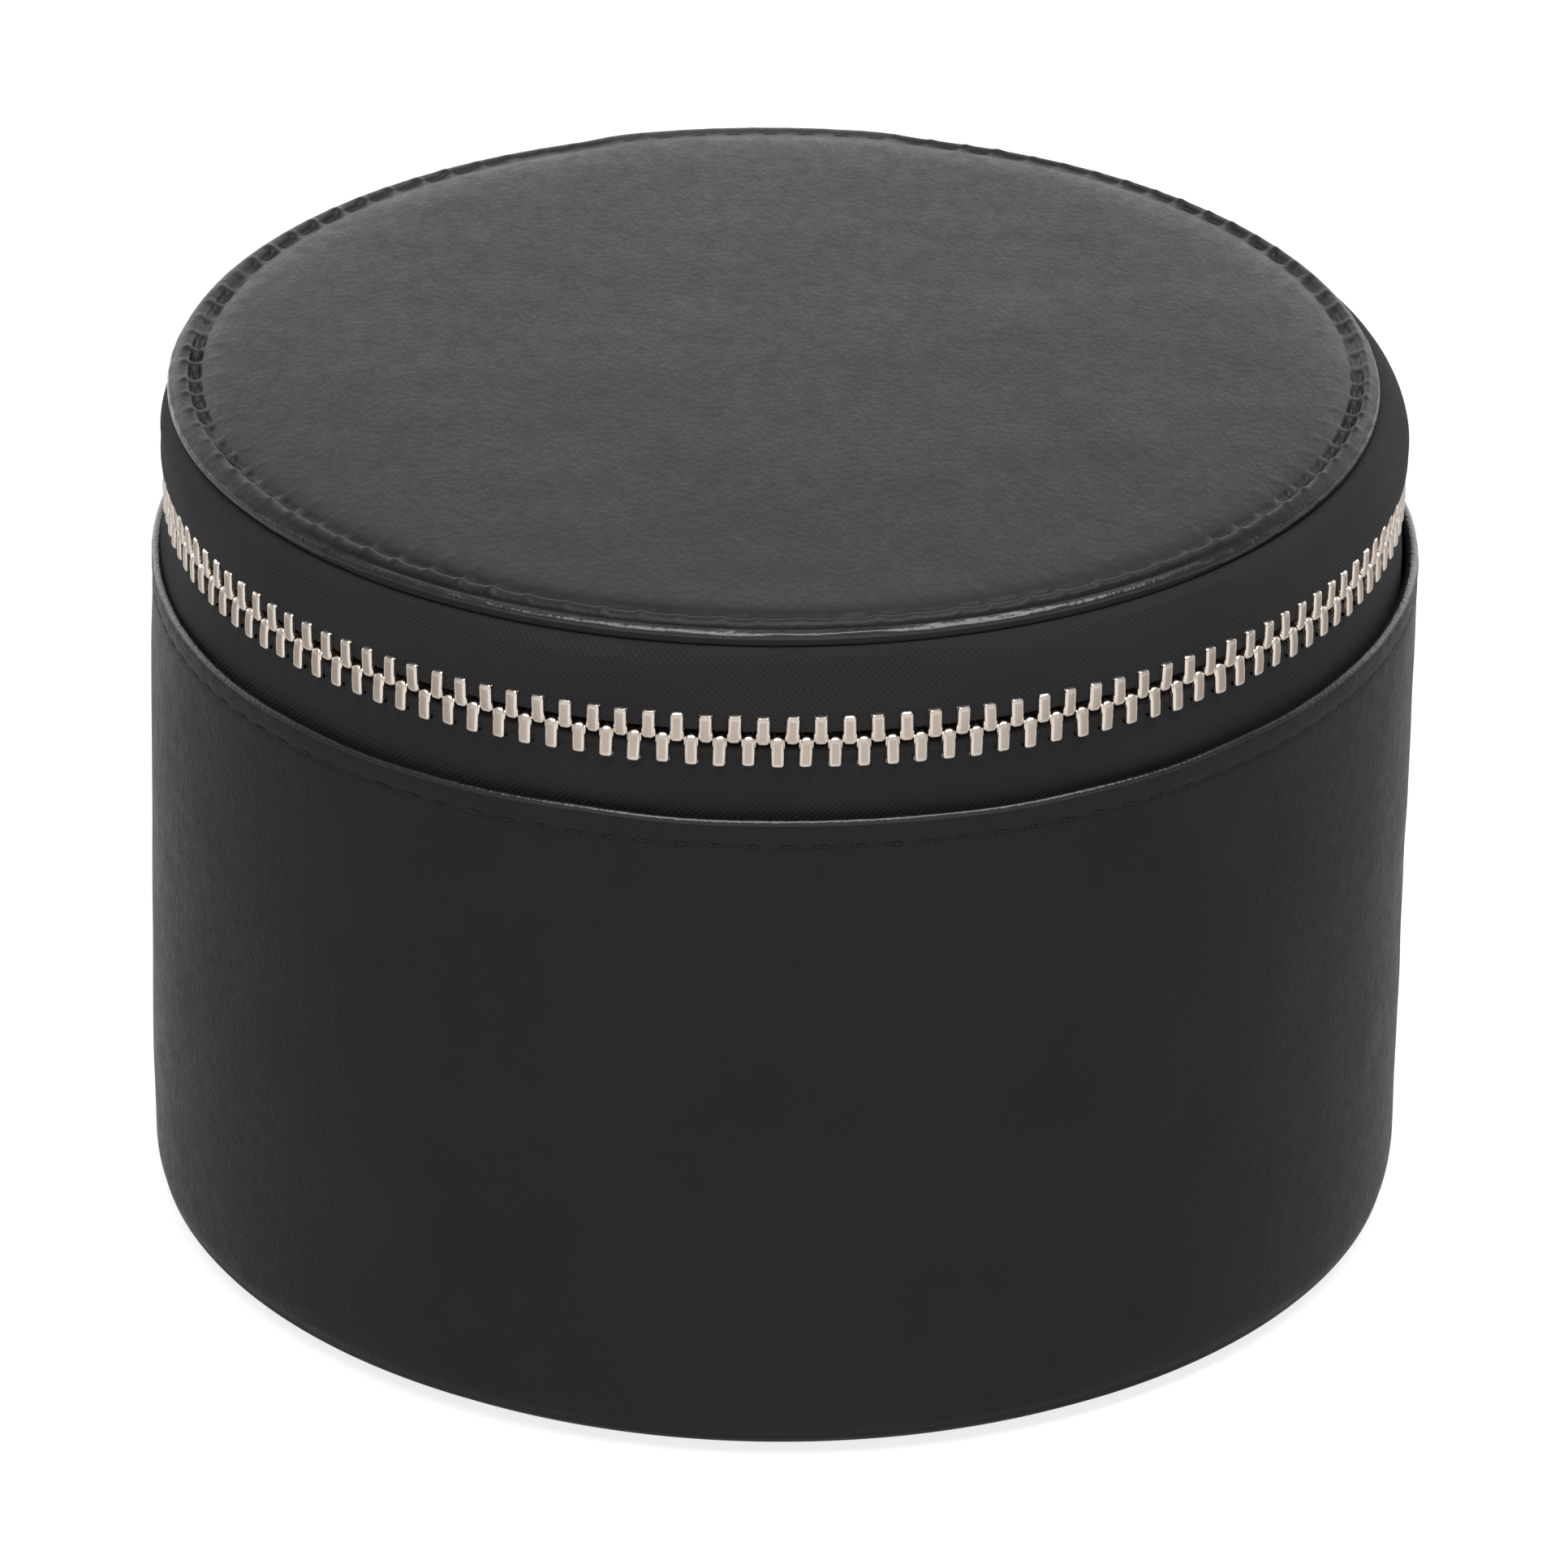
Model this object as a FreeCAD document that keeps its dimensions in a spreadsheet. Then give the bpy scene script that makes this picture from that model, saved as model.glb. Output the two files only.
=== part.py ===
# Round zip-round leather jewellery case, built as a bench would take it apart.
# Frame: millimetres, +Z up, origin on the case's axis at the underside it stands on.
# The front of the case faces -Y and the leather hinge is at the back, +Y.
# Angles round the case are measured from the front, positive towards +X.
import FreeCAD, Part
import math
import os
import Sketcher
from FreeCAD import Placement, Rotation, Vector

doc = FreeCAD.newDocument("jewellery_case")

# ---------------------------------------------------------------- driving dimensions
sheet = doc.addObject("Spreadsheet::Sheet", "Params")
CELLS = [
    # body shell
    ("body_rad", 60.0, "outer radius of the leather wall"),
    ("hide_th", 1.2, "thickness of the wall leather"),
    ("rim_z", 66.1, "top of the wall leather's turned edge"),
    ("wall_z0", 1.05, "underside of the turned-under margin"),
    ("margin_rad", 46.0, "inner radius of the turned-under margin"),
    ("board_rad", 57.8, "outer radius of the wall board"),
    ("board_th", 2.0, "thickness of the wall board"),
    ("board_top", 65.2, "top of the wall board"),
    ("base_top", 4.3, "top of the base board"),
    ("base_rad", 57.2, "radius of the base cover"),
    ("base_th", 1.0, "thickness of the base cover"),
    # lining and insert
    ("lining_rad", 55.75, "outer radius of the wall lining"),
    ("lining_th", 0.95, "thickness of the wall lining"),
    ("lining_top", 68.6, "top of the wall lining's collar"),
    ("floor_top", 7.9, "top of the floor pad"),
    ("divider_x", 24.0, "distance of each long divider from the axis"),
    ("divider_th", 2.4, "thickness of a divider"),
    ("divider_len", 97.2, "length of the long dividers"),
    ("divider_top", 50.0, "top of the long dividers"),
    ("cross_y", 2.2, "position of the cross divider"),
    ("cross_top", 46.0, "top of the cross divider"),
    ("shelf_z", 30.0, "underside of the ring shelf"),
    ("shelf_th", 2.0, "thickness of the ring shelf"),
    ("shelf_len", 49.4, "depth of the ring shelf"),
    ("roll_rad", 5.8, "radius of a ring roll"),
    ("roll_len", 45.0, "length of a ring roll"),
    ("roll_pitch", 11.8, "spacing of the ring rolls"),
    ("roll_y", -5.3, "position of the rearmost ring roll"),
    ("roll_fil", 1.6, "rounding of a ring roll's ends"),
    # zip
    ("tape_rad", 58.5, "outer radius of the zip tape"),
    ("tape_th", 0.6, "thickness of the zip tape"),
    ("tape_low", 57.1, "lower edge of the lower tape, inside the wall"),
    ("chain_z", 73.3, "height of the closed chain's middle"),
    ("tape_gap", 0.9, "from the chain's middle to each tape edge"),
    ("tape_half", 162.0, "angle from the front to each tape end"),
    ("tail_left", 146.6, "start of the left flexible tape tail"),
    ("tail_right", 149.6, "start of the right flexible tape tail"),
    ("pitch_deg", 2.5, "angle from tooth to tooth, 144 to the full circle"),
    ("tooth_phase", 1.3, "angle of the upper tooth nearest the front"),
    ("tooth_w", 1.16, "width of a tooth's legs along the chain"),
    ("head_w", 1.04, "width of a tooth's head along the chain"),
    ("tooth_top", 2.55, "from the chain's middle to a tooth's outer end"),
    ("tooth_nose", 0.42, "how far a head reaches past the chain's middle"),
    ("tooth_web", 0.62, "height of a tooth's web above the chain's middle"),
    ("tooth_in", 57.2, "inner radius of the teeth"),
    ("tooth_out", 59.2, "outer radius of the teeth"),
    ("leg_slot", 0.8, "width of the slot that grips the tape"),
    # slider and pull
    ("slider_deg", 156.5, "angle of the slider when the zip is closed"),
    ("slider_arc", 10.8, "length of the slider as an angle"),
    ("slider_half", 4.3, "half width of the slider across the chain"),
    ("plate_th", 1.0, "thickness of each slider plate"),
    ("plate_gap", 0.25, "gap between teeth and slider plates"),
    ("flange_h", 1.0, "height of the slider flanges"),
    ("post_half", 0.8, "half height of the slider's diamond post"),
    ("post_arc", 2.2, "length of the diamond post as an angle"),
    ("post_off", 4.0, "angle of the post ahead of the slider's middle"),
    ("bail_rad", 62.15, "radius at which the bail's bar lies"),
    ("bail_wire", 0.55, "radius of the bail's wire"),
    ("bail_half", 2.9, "half length of the bail's bar"),
    ("link_wire", 0.4, "radius of the link's wire"),
    ("link_bend", 1.14, "bend radius of the link"),
    ("link_up", 0.15, "link's upper bend centre above the bar"),
    ("link_down", 4.5, "link's lower bend centre below the bar"),
    ("tab_th", 1.1, "thickness of the pull tab"),
    ("tab_top", 4.0, "top of the pull tab below the bar"),
    ("tab_end", 26.0, "end of the pull tab below the bar"),
    ("tab_w", 4.6, "width of the pull tab at its top"),
    ("tab_w2", 6.4, "width of the pull tab at its end"),
    ("tab_hole_z", 6.1, "hole of the pull tab below the bar"),
    ("tab_hole", 1.1, "radius of the pull tab's hole"),
    ("tab_fil", 1.6, "rounding of the pull tab's corners"),
    # lid
    ("lid_rad", 56.3, "outer radius of the lid's rim"),
    ("lid_z", 81.3, "underside of the lid's rim"),
    ("lid_top", 85.6, "top of the padded lid"),
    ("lid_hide", 1.0, "thickness of the lid leather"),
    ("seam_rad", 53.7, "radius of the lid's stitched seam"),
    ("lidboard_rad", 49.8, "radius of the lid board"),
    ("lidboard_z", 80.65, "underside of the lid board"),
    ("lidboard_top", 82.55, "top of the lid board"),
    ("lidlining_z", 79.5, "underside of the lid lining panel"),
    ("lidlining_rad", 55.4, "radius of the lid lining panel"),
    ("mirror_rad", 40.0, "radius of the mirror"),
    ("mirror_th", 1.6, "thickness of the mirror"),
    ("frame_rad", 52.5, "outer radius of the mirror's padded frame"),
    ("frame_in", 38.6, "inner radius of the mirror's padded frame"),
    ("frame_z", 77.0, "underside of the mirror's padded frame"),
    # leather hinge
    ("hinge_half", 17.6, "half width of the leather hinge as an angle"),
    ("hinge_low", 57.1, "lower edge of the hinge leather, inside the wall"),
]
VALUE = {}
for i, (alias, value, note) in enumerate(CELLS, start=1):
    sheet.set("A%d" % i, note)
    sheet.set("B%d" % i, repr(value))
    sheet.setAlias("B%d" % i, alias)
    VALUE[alias] = float(value)
doc.recompute()


class Dim:
    """A length or angle that knows its value and its expression in the sheet."""

    def __init__(self, text, value):
        self.text, self.value = text, float(value)

    def _two(self, other, sign, swap=False):
        o = other if isinstance(other, Dim) else Dim(repr(float(other)), other)
        a, b = (o, self) if swap else (self, o)
        v = {"+": a.value + b.value, "-": a.value - b.value, "*": a.value * b.value}[sign]
        return Dim("(%s %s %s)" % (a.text, sign, b.text), v)

    def __add__(self, o):
        return self._two(o, "+")

    def __radd__(self, o):
        return self._two(o, "+", True)

    def __sub__(self, o):
        return self._two(o, "-")

    def __rsub__(self, o):
        return self._two(o, "-", True)

    def __mul__(self, o):
        return self._two(o, "*")

    def __rmul__(self, o):
        return self._two(o, "*", True)


def d(alias):
    return Dim("Params.%s" % alias, VALUE[alias])


def num(x):
    return x.value if isinstance(x, Dim) else float(x)


def text(x):
    return x.text if isinstance(x, Dim) else repr(float(x))


PIECES = []


def piece(obj, label):
    obj.Label = label
    PIECES.append(obj)
    return obj


def plane_of(body, role):
    return [f for f in body.Origin.OriginFeatures if f.Role == role][0]


def outline(body, name, points, role="XZ_Plane", turn=0.0, lift=None):
    """A closed polygon whose every corner is held by two dimensions from the sketch's origin."""
    sk = body.newObject("Sketcher::SketchObject", name)
    sk.AttachmentSupport = (plane_of(body, role), [""])
    sk.MapMode = "FlatFace"
    if lift is not None:
        sk.AttachmentOffset = Placement(Vector(0, 0, num(lift)), Rotation())
        sk.setExpression("AttachmentOffset.Base.z", text(lift))
    elif num(turn):
        sk.AttachmentOffset = Placement(Vector(), Rotation(Vector(0, 1, 0), num(turn)))
    n = len(points)
    xy = [Vector(num(a), num(b), 0) for a, b in points]
    for i in range(n):
        sk.addGeometry(Part.LineSegment(xy[i], xy[(i + 1) % n]), False)
    for i in range(n):
        sk.addConstraint(Sketcher.Constraint("Coincident", i, 2, (i + 1) % n, 1))
    for i, (a, b) in enumerate(points):
        for axis, kind, value in (("x", "DistanceX", a), ("y", "DistanceY", b)):
            v = num(value)
            if abs(v) < 1e-9:
                sk.addConstraint(
                    Sketcher.Constraint("PointOnObject", i, 1, -2 if axis == "x" else -1)
                )
                continue
            if v > 0:
                c = sk.addConstraint(Sketcher.Constraint(kind, -1, 1, i, 1, v))
                words = text(value)
            else:
                c = sk.addConstraint(Sketcher.Constraint(kind, i, 1, -1, 1, -v))
                words = "-(%s)" % text(value)
            key = "%s%d" % (axis, i)
            sk.renameConstraint(c, key)
            sk.setExpression("Constraints." + key, words)
    return sk


def revolve(body, name, sk, angle=360.0):
    rev = body.newObject("PartDesign::Revolution", name)
    rev.Profile = sk
    rev.ReferenceAxis = (sk, ["V_Axis"])
    rev.Angle = num(angle)
    if isinstance(angle, Dim):
        rev.setExpression("Angle", text(angle))
    if num(angle) < 359.99:
        rev.Midplane = True
    sk.Visibility = False
    return rev


def turned(label, points, angle=360.0, role="XZ_Plane", turn=0.0):
    """A body of one profile turned about the case's axis."""
    body = doc.addObject("PartDesign::Body", label)
    sk = outline(body, label + "_profile", points, role, turn)
    revolve(body, label + "_turn", sk, angle)
    return piece(body, label)


def front(points):
    """The same profile on the front half-plane, where the radius runs along -Y."""
    return [(0 - r if isinstance(r, Dim) else -r, z) for r, z in points]


# ---------------------------------------------------------------- case: shell
R, H = d("body_rad"), d("hide_th")
turned(
    "base_cover",
    [(0, 0), (d("base_rad") - 0.4, 0), (d("base_rad"), 0.4), (d("base_rad"), d("base_th")), (0, d("base_th"))],
)
turned(
    "body_leather",
    [
        (d("margin_rad"), d("wall_z0")),
        (R - 2.6, d("wall_z0")),
        (R - 0.8, d("wall_z0") + 0.6),
        (R, d("wall_z0") + 2.1),
        (R, d("rim_z") - 0.55),
        (R - 0.2, d("rim_z") - 0.15),
        (R - 0.6, d("rim_z")),
        (R - H + 0.2, d("rim_z") - 0.15),
        (R - H, d("rim_z") - 0.55),
        (R - H, d("wall_z0") + 2.2),
        (R - H - 0.6, d("wall_z0") + H),
        (d("margin_rad"), d("wall_z0") + H),
    ],
)
turned(
    "base_board",
    [
        (0, d("wall_z0") + H + 0.05),
        (d("board_rad"), d("wall_z0") + H + 0.05),
        (d("board_rad"), d("base_top")),
        (0, d("base_top")),
    ],
)
turned(
    "body_board",
    [
        (d("board_rad") - d("board_th"), d("base_top") + 0.05),
        (d("board_rad"), d("base_top") + 0.05),
        (d("board_rad"), d("board_top")),
        (d("board_rad") - d("board_th"), d("board_top")),
    ],
)

# ---------------------------------------------------------------- case: lining and fixed insert
LR, LT = d("lining_rad"), d("lining_th")
turned(
    "wall_lining",
    [
        (LR - LT, d("base_top") + 0.05),
        (LR, d("base_top") + 0.05),
        (LR, d("lining_top") - 0.3),
        (LR - 0.3, d("lining_top")),
        (LR - LT + 0.3, d("lining_top")),
        (LR - LT, d("lining_top") - 0.3),
    ],
)
turned(
    "floor_pad",
    [
        (0, d("base_top") + 0.05),
        (LR - LT - 0.1, d("base_top") + 0.05),
        (LR - LT - 0.1, d("floor_top") - 0.8),
        (LR - LT - 0.9, d("floor_top")),
        (0, d("floor_top")),
    ],
)


def block(label, size, at):
    """A plain board panel with its sizes and place in the sheet."""
    b = doc.addObject("Part::Box", label)
    for prop, value in zip(("Length", "Width", "Height"), size):
        setattr(b, prop, num(value))
        b.setExpression(prop, text(value))
    b.Placement = Placement(Vector(*[num(v) for v in at]), Rotation())
    for axis, value in zip("xyz", at):
        b.setExpression("Placement.Base.%s" % axis, text(value))
    return piece(b, label)


DT = d("divider_th")
for label, side in (("left_divider", -1.0), ("right_divider", 1.0)):
    block(
        label,
        (DT, d("divider_len"), d("divider_top") - d("floor_top") - 0.05),
        (side * d("divider_x") - 0.5 * DT, -0.5 * d("divider_len"), d("floor_top") + 0.05),
    )
inner_w = 2.0 * d("divider_x") - DT - 0.2
block(
    "cross_divider",
    (inner_w, DT, d("cross_top") - d("floor_top") - 0.05),
    (-0.5 * inner_w, d("cross_y") - 0.5 * DT, d("floor_top") + 0.05),
)
block(
    "ring_shelf",
    (inner_w, d("shelf_len"), d("shelf_th")),
    (-0.5 * inner_w, d("cross_y") - 0.5 * DT - 0.1 - d("shelf_len"), d("shelf_z")),
)
for k in range(4):
    cyl = doc.addObject("Part::Cylinder", "roll_core_%d" % (k + 1))
    cyl.Radius = num(d("roll_rad"))
    cyl.setExpression("Radius", text(d("roll_rad")))
    cyl.Height = num(d("roll_len"))
    cyl.setExpression("Height", text(d("roll_len")))
    at = (-0.5 * d("roll_len"), d("roll_y") - float(k) * d("roll_pitch"), d("shelf_z") + d("shelf_th") + d("roll_rad") + 0.05)
    cyl.Placement = Placement(Vector(*[num(v) for v in at]), Rotation(Vector(0, 1, 0), 90))
    for axis, value in zip("xyz", at):
        cyl.setExpression("Placement.Base.%s" % axis, text(value))
    doc.recompute()
    rounded = doc.addObject("Part::Fillet", "roll_%d" % (k + 1))
    rounded.Base = cyl
    f = num(d("roll_fil"))
    rounded.Edges = [
        (i + 1, f, f)
        for i, e in enumerate(cyl.Shape.Edges)
        if isinstance(e.Curve, Part.Circle)
    ]
    piece(rounded, "ring_roll_%d" % (k + 1))

# ---------------------------------------------------------------- zip: tapes
TR, TT, ZC, TG = d("tape_rad"), d("tape_th"), d("chain_z"), d("tape_gap")
turned(
    "lower_zip_tape",
    front([(TR - TT, d("tape_low")), (TR, d("tape_low")), (TR, ZC - TG), (TR - TT, ZC - TG)]),
    2.0 * d("tape_half"),
    "YZ_Plane",
)
LZ = d("lid_z")
UPPER = [
    (TR, ZC + TG),
    (TR, LZ - 2.1),
    (TR - 0.3, LZ - 1.0),
    (TR - 1.2, LZ - 0.25),
    (TR - 2.1, LZ - 0.05),
    (d("lidboard_rad") + 0.4, LZ - 0.05),
    (d("lidboard_rad") + 0.4, LZ - 0.05 - TT),
    (TR - 2.3, LZ - 0.05 - TT),
    (TR - 1.5, LZ - 0.95),
    (TR - TT - 0.3, LZ - 1.5),
    (TR - TT, LZ - 2.3),
    (TR - TT, ZC + TG),
]
# the middle of the upper tape is carried by the lid; its two tails beside the hinge stay flexible
turned(
    "upper_zip_tape",
    front(UPPER),
    d("tail_left") + d("tail_right"),
    "YZ_Plane",
    0.5 * (VALUE["tail_right"] - VALUE["tail_left"]),
)
turned(
    "upper_tape_tail_right",
    front(UPPER),
    d("tape_half") - d("tail_right") - 0.2,
    "YZ_Plane",
    0.5 * (VALUE["tape_half"] + VALUE["tail_right"] + 0.2),
)
turned(
    "upper_tape_tail_left",
    front(UPPER),
    d("tape_half") - d("tail_left") - 0.2,
    "YZ_Plane",
    -0.5 * (VALUE["tape_half"] + VALUE["tail_left"] + 0.2),
)


# ---------------------------------------------------------------- zip: teeth and stops
def tooth_solid(up, width, head, top, nose, web):
    """One U-shaped tooth at the front: a head on the chain's middle and two legs that grip the tape."""
    zc, rin, rout = VALUE["chain_z"], VALUE["tooth_in"], VALUE["tooth_out"]
    mid = VALUE["tape_rad"] - 0.5 * VALUE["tape_th"]
    slot = VALUE["leg_slot"]

    def slab(r0, r1, z0, z1, w):
        lo, hi = (zc + z0, zc + z1) if up > 0 else (zc - z1, zc - z0)
        return Part.makeBox(w, r1 - r0, hi - lo, Vector(-0.5 * w, -r1, lo))

    neck = slab(rin + 0.15, rout - 0.15, -nose, web, head)
    legs = slab(rin, rout, web, top, width)
    whole = neck.fuse(legs).cut(
        slab(mid - 0.5 * slot, mid + 0.5 * slot, web + 0.1, top + 1.0, width + 1.0)
    )
    return whole.removeSplitter().Solids[0]


def row_of_teeth(label, up, first, last, shift):
    one = tooth_solid(
        up, VALUE["tooth_w"], VALUE["head_w"], VALUE["tooth_top"], VALUE["tooth_nose"], VALUE["tooth_web"]
    )
    copies = []
    for k in range(first, last + 1):
        s = one.copy()
        s.rotate(Vector(), Vector(0, 0, 1), VALUE["tooth_phase"] + (k + shift) * VALUE["pitch_deg"])
        copies.append(s)
    f = doc.addObject("Part::Feature", label)
    f.Shape = Part.makeCompound(copies)
    return piece(f, label), len(copies)


_, n_up = row_of_teeth("upper_zip_teeth", 1, -63, 62, 0.0)
_, n_low = row_of_teeth("lower_zip_teeth", -1, -63, 62, -0.5)
print("teeth", n_up, n_low)


def clip(label, up, angle, width, both=False):
    """An end stop: a small U-clip pressed over the tape's edge, or over both edges."""
    s = tooth_solid(up, width, width, 2.3, 0.0 if both else -0.35, 0.6)
    if both:
        s = s.fuse(tooth_solid(-up, width, width, 2.3, 0.0, 0.6)).removeSplitter().Solids[0]
    s.rotate(Vector(), Vector(0, 0, 1), angle)
    f = doc.addObject("Part::Feature", label)
    f.Shape = s
    return piece(f, label)


clip("upper_top_stop", 1, 158.25, 1.2)
clip("lower_top_stop", -1, 158.25, 1.2)
clip("bottom_stop", 1, -160.2, 1.5, True)

# ---------------------------------------------------------------- zip: slider
slider = doc.addObject("PartDesign::Body", "slider_body")
TI, TO, PG, PT, SH, FH = d("tooth_in"), d("tooth_out"), d("plate_gap"), d("plate_th"), d("slider_half"), d("flange_h")
mid_r = TR - 0.5 * TT
post = outline(
    slider,
    "post_profile",
    front([
        (TI - PG - 0.5, ZC - d("post_half")),
        (TO + PG + 0.5, ZC - d("post_half")),
        (TO + PG + 0.5, ZC + d("post_half")),
        (TI - PG - 0.5, ZC + d("post_half")),
    ]),
    "YZ_Plane",
    VALUE["post_off"],
)
revolve(slider, "post_turn", post, d("post_arc"))
doc.recompute()
outer = outline(
    slider,
    "outer_profile",
    front([
        (TO + PG, ZC - SH + FH),
        (mid_r + 0.55, ZC - SH + FH),
        (mid_r + 0.55, ZC - SH),
        (TO + PG + PT - 0.4, ZC - SH),
        (TO + PG + PT, ZC - SH + 0.5),
        (TO + PG + PT, ZC + SH - 0.5),
        (TO + PG + PT - 0.4, ZC + SH),
        (mid_r + 0.55, ZC + SH),
        (mid_r + 0.55, ZC + SH - FH),
        (TO + PG, ZC + SH - FH),
    ]),
    "YZ_Plane",
)
revolve(slider, "outer_turn", outer, d("slider_arc"))
doc.recompute()
inner = outline(
    slider,
    "inner_profile",
    front([
        (TI - PG, ZC - SH + FH),
        (TI - PG, ZC + SH - FH),
        (mid_r - 0.55, ZC + SH - FH),
        (mid_r - 0.55, ZC + SH),
        (TI - PG - PT + 0.4, ZC + SH),
        (TI - PG - PT, ZC + SH - 0.5),
        (TI - PG - PT, ZC - SH + 0.5),
        (TI - PG - PT + 0.4, ZC - SH),
        (mid_r - 0.55, ZC - SH),
        (mid_r - 0.55, ZC - SH + FH),
    ]),
    "YZ_Plane",
)
revolve(slider, "inner_turn", inner, d("slider_arc"))
slider.Placement = Placement(Vector(), Rotation(Vector(0, 0, 1), VALUE["slider_deg"]))
slider.setExpression("Placement.Rotation.Angle", "Params.slider_deg")
piece(slider, "slider_body")

AT_SLIDER = Placement(Vector(), Rotation(Vector(0, 0, 1), VALUE["slider_deg"]))
zc, br, bw, bh = VALUE["chain_z"], VALUE["bail_rad"], VALUE["bail_wire"], VALUE["bail_half"]


def bail_part(kind, name, base, rotation=None):
    o = doc.addObject(kind, name)
    o.Radius = bw
    o.setExpression("Radius", "Params.bail_wire")
    o.Placement = Placement(base, rotation or Rotation())
    return o


bar = bail_part("Part::Cylinder", "bail_bar", Vector(-bh, -br, zc), Rotation(Vector(0, 1, 0), 90))
bar.setExpression("Height", "2 * Params.bail_half")
legs = []
for k, x in enumerate((-bh, bh)):
    leg = bail_part("Part::Cylinder", "bail_leg_%d" % (k + 1), Vector(x, -br, zc), Rotation(Vector(1, 0, 0), -90))
    leg.setExpression("Height", "Params.bail_rad - Params.tooth_out - Params.plate_gap - Params.plate_th + 0.4")
    knee = bail_part("Part::Sphere", "bail_knee_%d" % (k + 1), Vector(x, -br, zc))
    legs += [leg, knee]
doc.recompute()
bail = doc.addObject("Part::MultiFuse", "slider_bail")
bail.Shapes = [bar] + legs
bail.Placement = AT_SLIDER
piece(bail, "slider_bail")

# the link: a closed oval of wire round the bail's bar
lw, lb = VALUE["link_wire"], VALUE["link_bend"]
za, zb = zc + VALUE["link_up"], zc - VALUE["link_down"]
path = Part.Wire([
    Part.LineSegment(Vector(0, -br + lb, zb), Vector(0, -br + lb, za)).toShape(),
    Part.Arc(Vector(0, -br + lb, za), Vector(0, -br, za + lb), Vector(0, -br - lb, za)).toShape(),
    Part.LineSegment(Vector(0, -br - lb, za), Vector(0, -br - lb, zb)).toShape(),
    Part.Arc(Vector(0, -br - lb, zb), Vector(0, -br, zb - lb), Vector(0, -br + lb, zb)).toShape(),
])
ring = Part.Wire([Part.Circle(Vector(0, -br + lb, zb), Vector(0, 0, 1), lw).toShape()])
wire = path.makePipeShell([ring], True, True)
if wire.ShapeType != "Solid":
    wire = Part.Solid(Part.Shell(wire.Faces))
print("link volume", wire.Volume, "section times length", math.pi * lw**2 * path.Length)
link = doc.addObject("Part::Feature", "pull_link")
link.Shape = wire
link.Placement = AT_SLIDER
piece(link, "pull_link")

# the pull tab: a flat plate that hangs from the link
tab = doc.addObject("PartDesign::Body", "pull_tab")
half, half2 = 0.5 * d("tab_w"), 0.5 * d("tab_w2")
face = outline(
    tab,
    "tab_face",
    [
        (0 - half, ZC - d("tab_top")),
        (0 - half2, ZC - d("tab_end")),
        (half2, ZC - d("tab_end")),
        (half, ZC - d("tab_top")),
    ],
    "XZ_Plane",
    0.0,
    d("bail_rad"),
)
pad = tab.newObject("PartDesign::Pad", "tab_pad")
pad.Profile = face
pad.Length = VALUE["tab_th"]
pad.setExpression("Length", "Params.tab_th")
pad.Midplane = True
doc.recompute()
hole_sk = tab.newObject("Sketcher::SketchObject", "tab_hole_profile")
hole_sk.AttachmentSupport = (plane_of(tab, "XZ_Plane"), [""])
hole_sk.MapMode = "FlatFace"
hole_sk.AttachmentOffset = Placement(Vector(0, 0, VALUE["bail_rad"]), Rotation())
hole_sk.setExpression("AttachmentOffset.Base.z", "Params.bail_rad")
g = hole_sk.addGeometry(Part.Circle(Vector(0, zc - VALUE["tab_hole_z"], 0), Vector(0, 0, 1), VALUE["tab_hole"]), False)
hole_sk.addConstraint(Sketcher.Constraint("PointOnObject", g, 3, -2))
c = hole_sk.addConstraint(Sketcher.Constraint("DistanceY", -1, 1, g, 3, zc - VALUE["tab_hole_z"]))
hole_sk.renameConstraint(c, "hole_z")
hole_sk.setExpression("Constraints.hole_z", "Params.chain_z - Params.tab_hole_z")
c = hole_sk.addConstraint(Sketcher.Constraint("Radius", g, VALUE["tab_hole"]))
hole_sk.renameConstraint(c, "hole_rad")
hole_sk.setExpression("Constraints.hole_rad", "Params.tab_hole")
before = pad.Shape.Volume
pocket = tab.newObject("PartDesign::Pocket", "tab_hole")
pocket.Profile = hole_sk
pocket.Midplane = True
pocket.Length = 6.0
doc.recompute()
print("tab hole removes", before - pocket.Shape.Volume, "of", math.pi * VALUE["tab_hole"] ** 2 * VALUE["tab_th"])
soft = tab.newObject("PartDesign::Fillet", "tab_corners")
names = []
for i, e in enumerate(pocket.Shape.Edges):
    if isinstance(e.Curve, Part.Line) and abs(abs(e.tangentAt(e.FirstParameter).y) - 1) < 1e-6:
        names.append("Edge%d" % (i + 1))
soft.Base = (pocket, names)
soft.Radius = VALUE["tab_fil"]
soft.setExpression("Radius", "Params.tab_fil")
tab.Placement = AT_SLIDER
tab.setExpression("Placement.Rotation.Angle", "Params.slider_deg")
piece(tab, "pull_tab")

# ---------------------------------------------------------------- lid
LR_, LH, LTOP, SR = d("lid_rad"), d("lid_hide"), d("lid_top"), d("seam_rad")
turned(
    "lid_leather",
    [
        (0, LTOP),
        (20.0, LTOP - 0.15),
        (36.0, LTOP - 0.65),
        (46.0, LTOP - 1.35),
        (51.0, LTOP - 2.05),
        (SR, LZ + 1.5),
        (SR + 1.2, LZ + 1.9),
        (LR_ - 0.3, LZ + 1.5),
        (LR_, LZ + 1.0),
        (LR_, LZ + 0.35),
        (LR_ - 0.35, LZ),
        (d("lidboard_rad") + 0.2, LZ),
        (d("lidboard_rad") + 0.2, LZ + 0.8),
        (SR - 1.4, LZ + 0.8),
        (51.0, LTOP - 2.05 - LH),
        (46.0, LTOP - 1.35 - LH),
        (36.0, LTOP - 0.65 - LH),
        (20.0, LTOP - 0.15 - LH),
        (0, LTOP - LH),
    ],
)
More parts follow.
